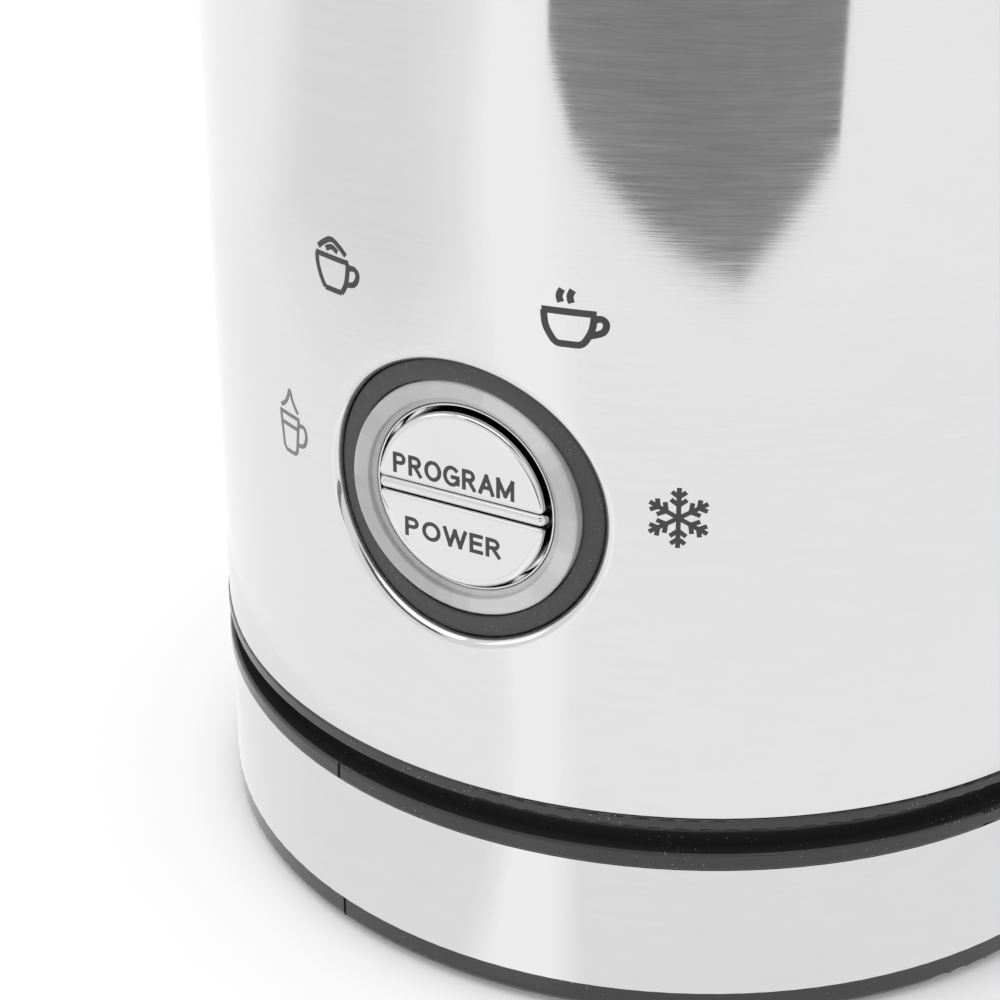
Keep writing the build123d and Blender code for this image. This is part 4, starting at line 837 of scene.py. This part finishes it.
BOWL = ([(0.0, 1.0), (0.36, 1.0)] + ring_line((0.36, 0.75), 0.25, 0.25, 80, -160, 10)
        + [(0.36, 0.5), (0.0, 0.5)])
LETTERS = {
    "P": (0.66, [[(0.0, 0.0), (0.0, 1.0)], BOWL]),
    "R": (0.70, [[(0.0, 0.0), (0.0, 1.0)], BOWL, [(0.30, 0.5), (0.66, 0.0)]]),
    "O": (0.88, [ring_line((0.44, 0.5), 0.44, 0.5, 90, 360, 28)]),
    "G": (0.88, [ring_line((0.44, 0.5), 0.44, 0.5, 48, 290, 24), [(0.84, 0.10), (0.84, 0.46)],
                 [(0.50, 0.46), (0.84, 0.46)]]),
    "A": (0.80, [[(0.0, 0.0), (0.40, 1.0)], [(0.40, 1.0), (0.80, 0.0)], [(0.15, 0.32), (0.65, 0.32)]]),
    "M": (0.92, [[(0.0, 0.0), (0.0, 1.0)], [(0.0, 1.0), (0.46, 0.12)], [(0.46, 0.12), (0.92, 1.0)],
                 [(0.92, 1.0), (0.92, 0.0)]]),
    "W": (1.20, [[(0.0, 1.0), (0.30, 0.0)], [(0.30, 0.0), (0.60, 0.95)], [(0.60, 0.95), (0.90, 0.0)],
                 [(0.90, 0.0), (1.20, 1.0)]]),
    "E": (0.58, [[(0.0, 0.0), (0.0, 1.0)], [(0.0, 1.0), (0.58, 1.0)], [(0.0, 0.52), (0.52, 0.52)],
                 [(0.0, 0.0), (0.58, 0.0)]]),
}
LETTER_GAP = 0.36


def with_caps(line, reach):
    """An open stroke with both ends carried on by reach."""
    (ax, az), (bx, bz) = line[0], line[1]
    (cx, cz), (dx, dz) = line[-1], line[-2]
    if math.hypot(ax - cx, az - cz) < reach:
        return line
    first, last = math.hypot(ax - bx, az - bz), math.hypot(cx - dx, cz - dz)
    start = (ax + (ax - bx) / first * reach, az + (az - bz) / first * reach)
    end = (cx + (cx - dx) / last * reach, cz + (cz - dz) / last * reach)
    return [start] + list(line) + [end]


def key_word(name, word, body, left, right, low, high, stroke=0.205):
    """A printed word on a button's face, fitted to its place in millimetres from the button's centre."""
    length = sum(LETTERS[letter][0] for letter in word) + LETTER_GAP * (len(word) - 1)
    wide = (right - left - 2 * stroke) / length
    tall = high - low - 2 * stroke
    lines, start = [], 0.0
    for letter in word:
        width, strokes = LETTERS[letter]
        for line in strokes:
            placed = [(left + stroke + (start + x) * wide, BUTTON_CENTRE + low + stroke + z * tall)
                      for x, z in line]
            lines.append(with_caps(placed, stroke * 0.9))
        start += width + LETTER_GAP
    return printed(name, lines, -KEY_FACE - 0.04, FLAT_PRINT, print_ink, stroke, body)


key_word("word_program", "PROGRAM", "function_key", -7.3, 5.9, 1.4, 3.6)
key_word("word_power", "POWER", "power_key", -6.1, 4.5, -5.1, -3.0)


def hot_cup():
    """A wide cup with two wisps of steam."""
    bowl = bend([(-2.75, 0.75), (-2.55, -0.7), (-1.85, -1.95), (-1.35, -2.3)], 4)
    bowl += [(0.55, -2.3)] + bend([(0.55, -2.3), (1.1, -1.95), (1.75, -0.7), (1.95, 0.75)], 4)
    lip = [(-2.95, 0.82), (2.15, 0.82)]
    ear = bend([(1.85, 0.2), (2.55, 0.45), (3.05, 0.0), (2.75, -0.85), (1.35, -1.35)], 4)
    steam = [bend([(x, 1.7), (x - 0.16, 2.3), (x + 0.1, 2.95)], 5) for x in (-1.15, -0.15)]
    return [bowl, lip, ear] + steam


def foam_cup():
    """A tapering cup with a crown of foam."""
    side = bend([(-2.6, 0.75), (-2.5, -0.4), (-2.05, -1.6), (-1.5, -2.45)], 4)
    base = [(-1.5, -2.45), (0.75, -2.45)]
    other = bend([(0.75, -2.45), (1.3, -1.6), (1.6, -0.4), (1.7, 0.75)], 4)
    lip = [(-2.7, 0.78), (1.8, 0.78)]
    ear = bend([(1.65, 0.25), (2.55, 0.4), (2.95, -0.2), (2.45, -1.15), (1.3, -1.45)], 4)
    foam = bend([(-2.35, 1.45), (-1.45, 2.15), (-0.45, 2.6), (0.55, 2.15), (1.45, 1.45)], 5)
    fold = bend([(-1.25, 1.5), (-0.45, 1.85), (0.35, 1.5)], 5)
    return [side, base, other, lip, ear, foam, fold]


def tall_glass():
    """A glass with a handle, a level line and a peak of foam."""
    body = [(-2.0, 0.5), (-1.55, -3.1), (-1.15, -3.5), (0.35, -3.5), (0.75, -3.1), (1.2, 0.5)]
    lip = [(-2.15, 0.55), (1.35, 0.55)]
    level = [(-1.75, -0.6), (1.0, -0.6)]
    ear = bend([(1.15, -0.1), (2.1, 0.0), (2.45, -0.9), (2.0, -2.0), (0.95, -2.3)], 4)
    foam = bend([(-1.9, 1.15), (-1.1, 1.7), (-0.6, 2.4), (-0.2, 3.3), (0.2, 2.3), (0.7, 1.6),
                 (1.15, 1.15)], 4)
    return [body, lip, level, ear, foam]


def frost_star():
    """A star of six arms with two pairs of twigs each."""
    lines = []
    for k in range(6):
        turn = math.radians(90 + 60 * k)
        along = Vector((math.cos(turn), math.sin(turn)))
        lines.append([(0.0, 0.0), tuple(along * 3.1)])
        for reach, twig in ((1.3, 0.95), (2.15, 0.85)):
            for lean in (-1, 1):
                way = turn + lean * math.radians(52)
                foot = along * reach
                lines.append([tuple(foot), tuple(foot + Vector((math.cos(way), math.sin(way))) * twig)])
    return lines


printed_sign("sign_foam_cup", foam_cup(), -13.9, 20.8, print_ink, 0.28)
printed_sign("sign_hot_cup", hot_cup(), 11.7, 20.8, print_ink, 0.33)
printed_sign("sign_tall_glass", tall_glass(), -21.8, 2.0, pale_ink, 0.22)
printed_sign("sign_frost", frost_star(), 21.7, 2.0, print_ink, 0.23)


# ---------------------------------------------------------------- the lid's knob

KNOB_LOW, KNOB_TOP = 169.6, 183.6
knob_profile = [(0.0, KNOB_LOW, 0.0), (6.5, KNOB_LOW, 0.0), (5.5, KNOB_LOW + 4.6, 3.0),
                (6.3, KNOB_LOW + 6.3, 1.2), (11.0, KNOB_LOW + 8.4, 0.9), (11.0, KNOB_TOP, 1.4),
                (8.2, KNOB_TOP, 2.0), (7.4, KNOB_TOP - 0.45, 1.6), (0.0, KNOB_TOP - 0.6, 0.0)]
knob = turned("knob_turned", knob_profile, "black_gloss", corner_steps=6)
show(knob, "lid", "lid_knob", finish_slot="black_gloss")


# ---------------------------------------------------------------- the whisk's coil

def coil_tree():
    """A wire wound round a ring: named sizes of ring, coil, wire and number of turns."""
    named = [("Ring", "Float", 0.0152), ("Coil", "Float", 0.0022), ("Wire", "Float", 0.0003),
             ("Turns", "Int", 64), ("Height", "Float", 0.0854), ("Finish", "Material", None)]
    tree, shop, given = new_tree("wound_ring", named)
    path = shop.node("GeometryNodeCurvePrimitiveCircle", {}, {"Resolution": 900, "Radius": 1.0})
    along = shop.node("GeometryNodeSplineParameter") * (2 * math.pi)
    wind = along * given("Turns")
    reach = given("Ring") + given("Coil") * wind.cosine()
    height = given("Height") + given("Coil") * wind.sine()
    spot = shop.node("ShaderNodeCombineXYZ", {}, [reach * along.cosine(), reach * along.sine(), height])
    wound = shop.node("GeometryNodeSetPosition", {}, {"Geometry": path, "Position": spot})
    nib = shop.node("GeometryNodeCurvePrimitiveCircle", {}, {"Resolution": 6, "Radius": given("Wire")})
    skin = shop.node("GeometryNodeCurveToMesh", {}, {"Curve": wound, "Profile Curve": nib})
    end_tree(shop, skin, given("Finish"))
    return tree


coil = link("whisk_spring", raw_mesh("whisk_spring", [(0, 0, 0)]))
tree_modifier(coil, coil_tree(), Finish=MATERIALS["bare_steel"])
bake(coil)
tidy(coil.data, FINE_WELD)
even_shade(coil, 80)
show(coil, "whisk", "whisk_coil", finish_slot="bare_steel")


# ---------------------------------------------------------------- stage, lights and camera

def plain(name, tone, emission):
    """Smooth matt paper that gives off a little light."""
    def dress(shop):
        cloud = shop.noise(3.0)
        base = shop.mix(cloud, tone * 0.99, tone)
        return {"Base Color": base, "Roughness": 0.6, "Specular IOR Level": 0.1,
                "Emission Color": colour(1.0), "Emission Strength": emission}
    return finish(name, dress)


def glow(name, strength):
    """Plain light, faded out at a card's edge by its fade attribute."""
    material = bpy.data.materials.new(name)
    material.use_nodes = True
    shop = Shop(material.node_tree)
    shop.tree.nodes.clear()
    fade = shop.node("ShaderNodeAttribute", {"attribute_name": "fade"}, (), "Fac")
    clear = shop.node("ShaderNodeBsdfTransparent")
    light = shop.node("ShaderNodeEmission", {}, {"Color": colour(1.0), "Strength": strength})
    shop.node("ShaderNodeOutputMaterial", {}, [shop.node("ShaderNodeMixShader", {}, [fade, clear, light])])
    return material


def reflector(name, points, faces, fades, strength):
    """A light or dark card that only gloss sees, from points in metres."""
    mesh = bpy.data.meshes.new(name)
    mesh.from_pydata([Vector(p) for p in points], [], faces)
    mesh.attributes.new("fade", "FLOAT", "POINT").data.foreach_set("value", fades)
    made = link(name, mesh, glow(name, strength))
    made.visible_camera = made.visible_diffuse = made.visible_shadow = False
    made.visible_transmission = made.visible_volume_scatter = False
    return made


def card(name, corners, strength):
    """A card with crisp edges, from its corners in metres."""
    return reflector(name, corners, [tuple(range(len(corners)))], [1.0] * len(corners), strength)


def strip(name, left, right, height, strength, soft=0.3, start=1.0):
    """A floor card between two edge lines, soft along both of them and as strong as start at its near end."""
    shares = ((0.0, 0.0), (soft, 1.0), (1 - soft, 1.0), (1.0, 0.0))
    points, fades, faces = [], [], []
    for (ax, ay), (bx, by) in zip(left, right):
        for share, fade in shares:
            points.append((ax + (bx - ax) * share, ay + (by - ay) * share, height))
            fades.append(fade)
    row = len(shares)
    fades[:row] = [fade * start for fade in fades[:row]]
    for k in range(len(left) - 1):
        low, high = k * row, (k + 1) * row
        faces += [(low + i, low + i + 1, high + i + 1, high + i) for i in range(row - 1)]
    return reflector(name, points, faces, fades, strength)


def floor_ring(name, inner, outer, height, strength, soft):
    """A round floor card about the base, fading out at its outer edge."""
    points, fades, faces, count = [], [], [], 64
    for radius, fade in ((inner, 1.0), (outer, 1.0), (outer + soft, 0.0)):
        for k in range(count):
            turn = 2 * math.pi * k / count
            points.append((radius * math.cos(turn), radius * math.sin(turn), height))
            fades.append(fade)
    for row in range(2):
        for k in range(count):
            j = (k + 1) % count
            faces.append((row * count + k, row * count + j, (row + 1) * count + j, (row + 1) * count + k))
    return reflector(name, points, faces, fades, strength)


REACH = 6.0
floor_corners = [(-REACH, -REACH, 0), (REACH, -REACH, 0), (REACH, REACH, 0), (-REACH, REACH, 0)]
floor_mesh = bpy.data.meshes.new("floor")
floor_mesh.from_pydata(floor_corners, [], [(0, 1, 2, 3)])
floor = link("floor", floor_mesh, plain("floor_paper", 0.92, 0.11))

floor_ring("card_near", 0.050, 0.074, 0.0012, 0.99, 0.012)
floor_ring("card_round", 0.084, 0.185, 0.0008, 1.09, 0.06)
DARK_EDGE = [(-0.036, -0.366), (0.0, -0.306), (0.042, -0.277), (0.131, -0.203), (0.164, -0.201),
             (0.240, -0.195)]
dark_far = [(0.75, -0.55), (0.62, -1.2), (-0.16, -1.25)]
card("card_dark", [(x, y, 0.003) for x, y in DARK_EDGE + dark_far], 0.265)
WEDGE_LEFT = [(-0.001, -0.050), (-0.012, -0.098), (-0.032, -0.137), (-0.072, -0.205), (-0.112, -0.252),
              (-0.135, -0.326), (-0.23, -0.62)]
WEDGE_RIGHT = [(0.014, -0.050), (0.012, -0.103), (0.010, -0.143), (0.014, -0.220), (0.008, -0.278),
               (-0.022, -0.350), (-0.060, -0.70)]
SHADE_LEFT = [(-0.22, -0.02), (-0.30, -0.06), (-0.50, -0.14), (-0.95, -0.30)]
SHADE_RIGHT = [(-0.05, -0.190), (-0.06, -0.252), (-0.08, -0.326), (-0.16, -0.62)]
strip("card_left_far", SHADE_LEFT, SHADE_RIGHT, 0.0014, 0.95, 0.3, 0.0)
strip("card_bright", WEDGE_LEFT, WEDGE_RIGHT, 0.002, 1.20)


def spoke(name, azimuth, half_angle, strength, near=0.16, far=1.2):
    """A soft grey strip lying on the floor, running outwards from the jug."""
    sides = []
    for lean in (half_angle, -half_angle):
        turn = math.radians(azimuth + lean)
        sides.append([(reach * math.sin(turn), -reach * math.cos(turn)) for reach in (near, near * 1.6, far)])
    return strip(name, *sides, 0.0014, strength, 0.35, 0.0)


spoke("card_behind", 150, 17, 0.34)
spoke("card_behind_spout", 221, 12, 0.45)


PATCH_CENTRE = 0.06


def patch(name, azimuths, elevations, strength, distance=1.25):
    """A card that fills two ranges of degrees as seen from the jug: azimuths go from the front
    towards the handle, and elevations upwards."""
    corners = []
    for azimuth, elevation in ((0, 0), (1, 0), (1, 1), (0, 1)):
        turn, rise = math.radians(azimuths[azimuth]), math.radians(elevations[elevation])
        reach = distance * math.cos(rise)
        corners.append((reach * math.sin(turn), -reach * math.cos(turn),
                        PATCH_CENTRE + distance * math.sin(rise)))
    return card(name, corners, strength)


patch("card_front_high", (-26, 46), (26, 46), 0.12)
patch("card_side", (106, 130), (1, 44), 0.18)
patch("card_back", (191, 219), (1, 44), 0.25)

world = bpy.data.worlds.new("studio")
world.use_nodes = True
bpy.context.scene.world = world
sky = Shop(world.node_tree)
sky.tree.nodes.clear()
ambient = sky.node("ShaderNodeBackground", {}, {"Color": colour(1.0), "Strength": 0.92})
sky.node("ShaderNodeOutputWorld", {}, [ambient])


def soft_light(name, place, size, power):
    """A square soft box at a place, facing the jug."""
    data = bpy.data.lights.new(name, "AREA")
    data.size, data.energy = size, power
    made = bpy.data.objects.new(name, data)
    bpy.context.scene.collection.objects.link(made)
    made.location = place
    aim = Vector((0, 0, 0.08)) - Vector(place)
    made.rotation_euler = aim.to_track_quat("-Z", "Y").to_euler()
    return made


soft_light("soft_overhead", (0.0, -0.2, 1.6), 1.8, 7.0)
soft_light("soft_left", (-1.5, -0.9, 1.1), 0.9, 1.5)

lens = bpy.data.cameras.new("camera")
lens.lens, lens.sensor_width = 93.13, 36.0
lens.clip_start, lens.clip_end = 0.01, 30.0
camera = bpy.data.objects.new("camera", lens)
bpy.context.scene.collection.objects.link(camera)
EYE = (0.10959, -0.23853, 0.16798)
TURN = (62.637, 0.141, 29.309)      # degrees about X, Y and Z
turned_lens = Euler([math.radians(degrees) for degrees in TURN]).to_matrix().to_4x4()
camera.matrix_world = Matrix.Translation(EYE) @ turned_lens
bpy.context.scene.camera = camera
bpy.context.scene.view_settings.view_transform = "Standard"
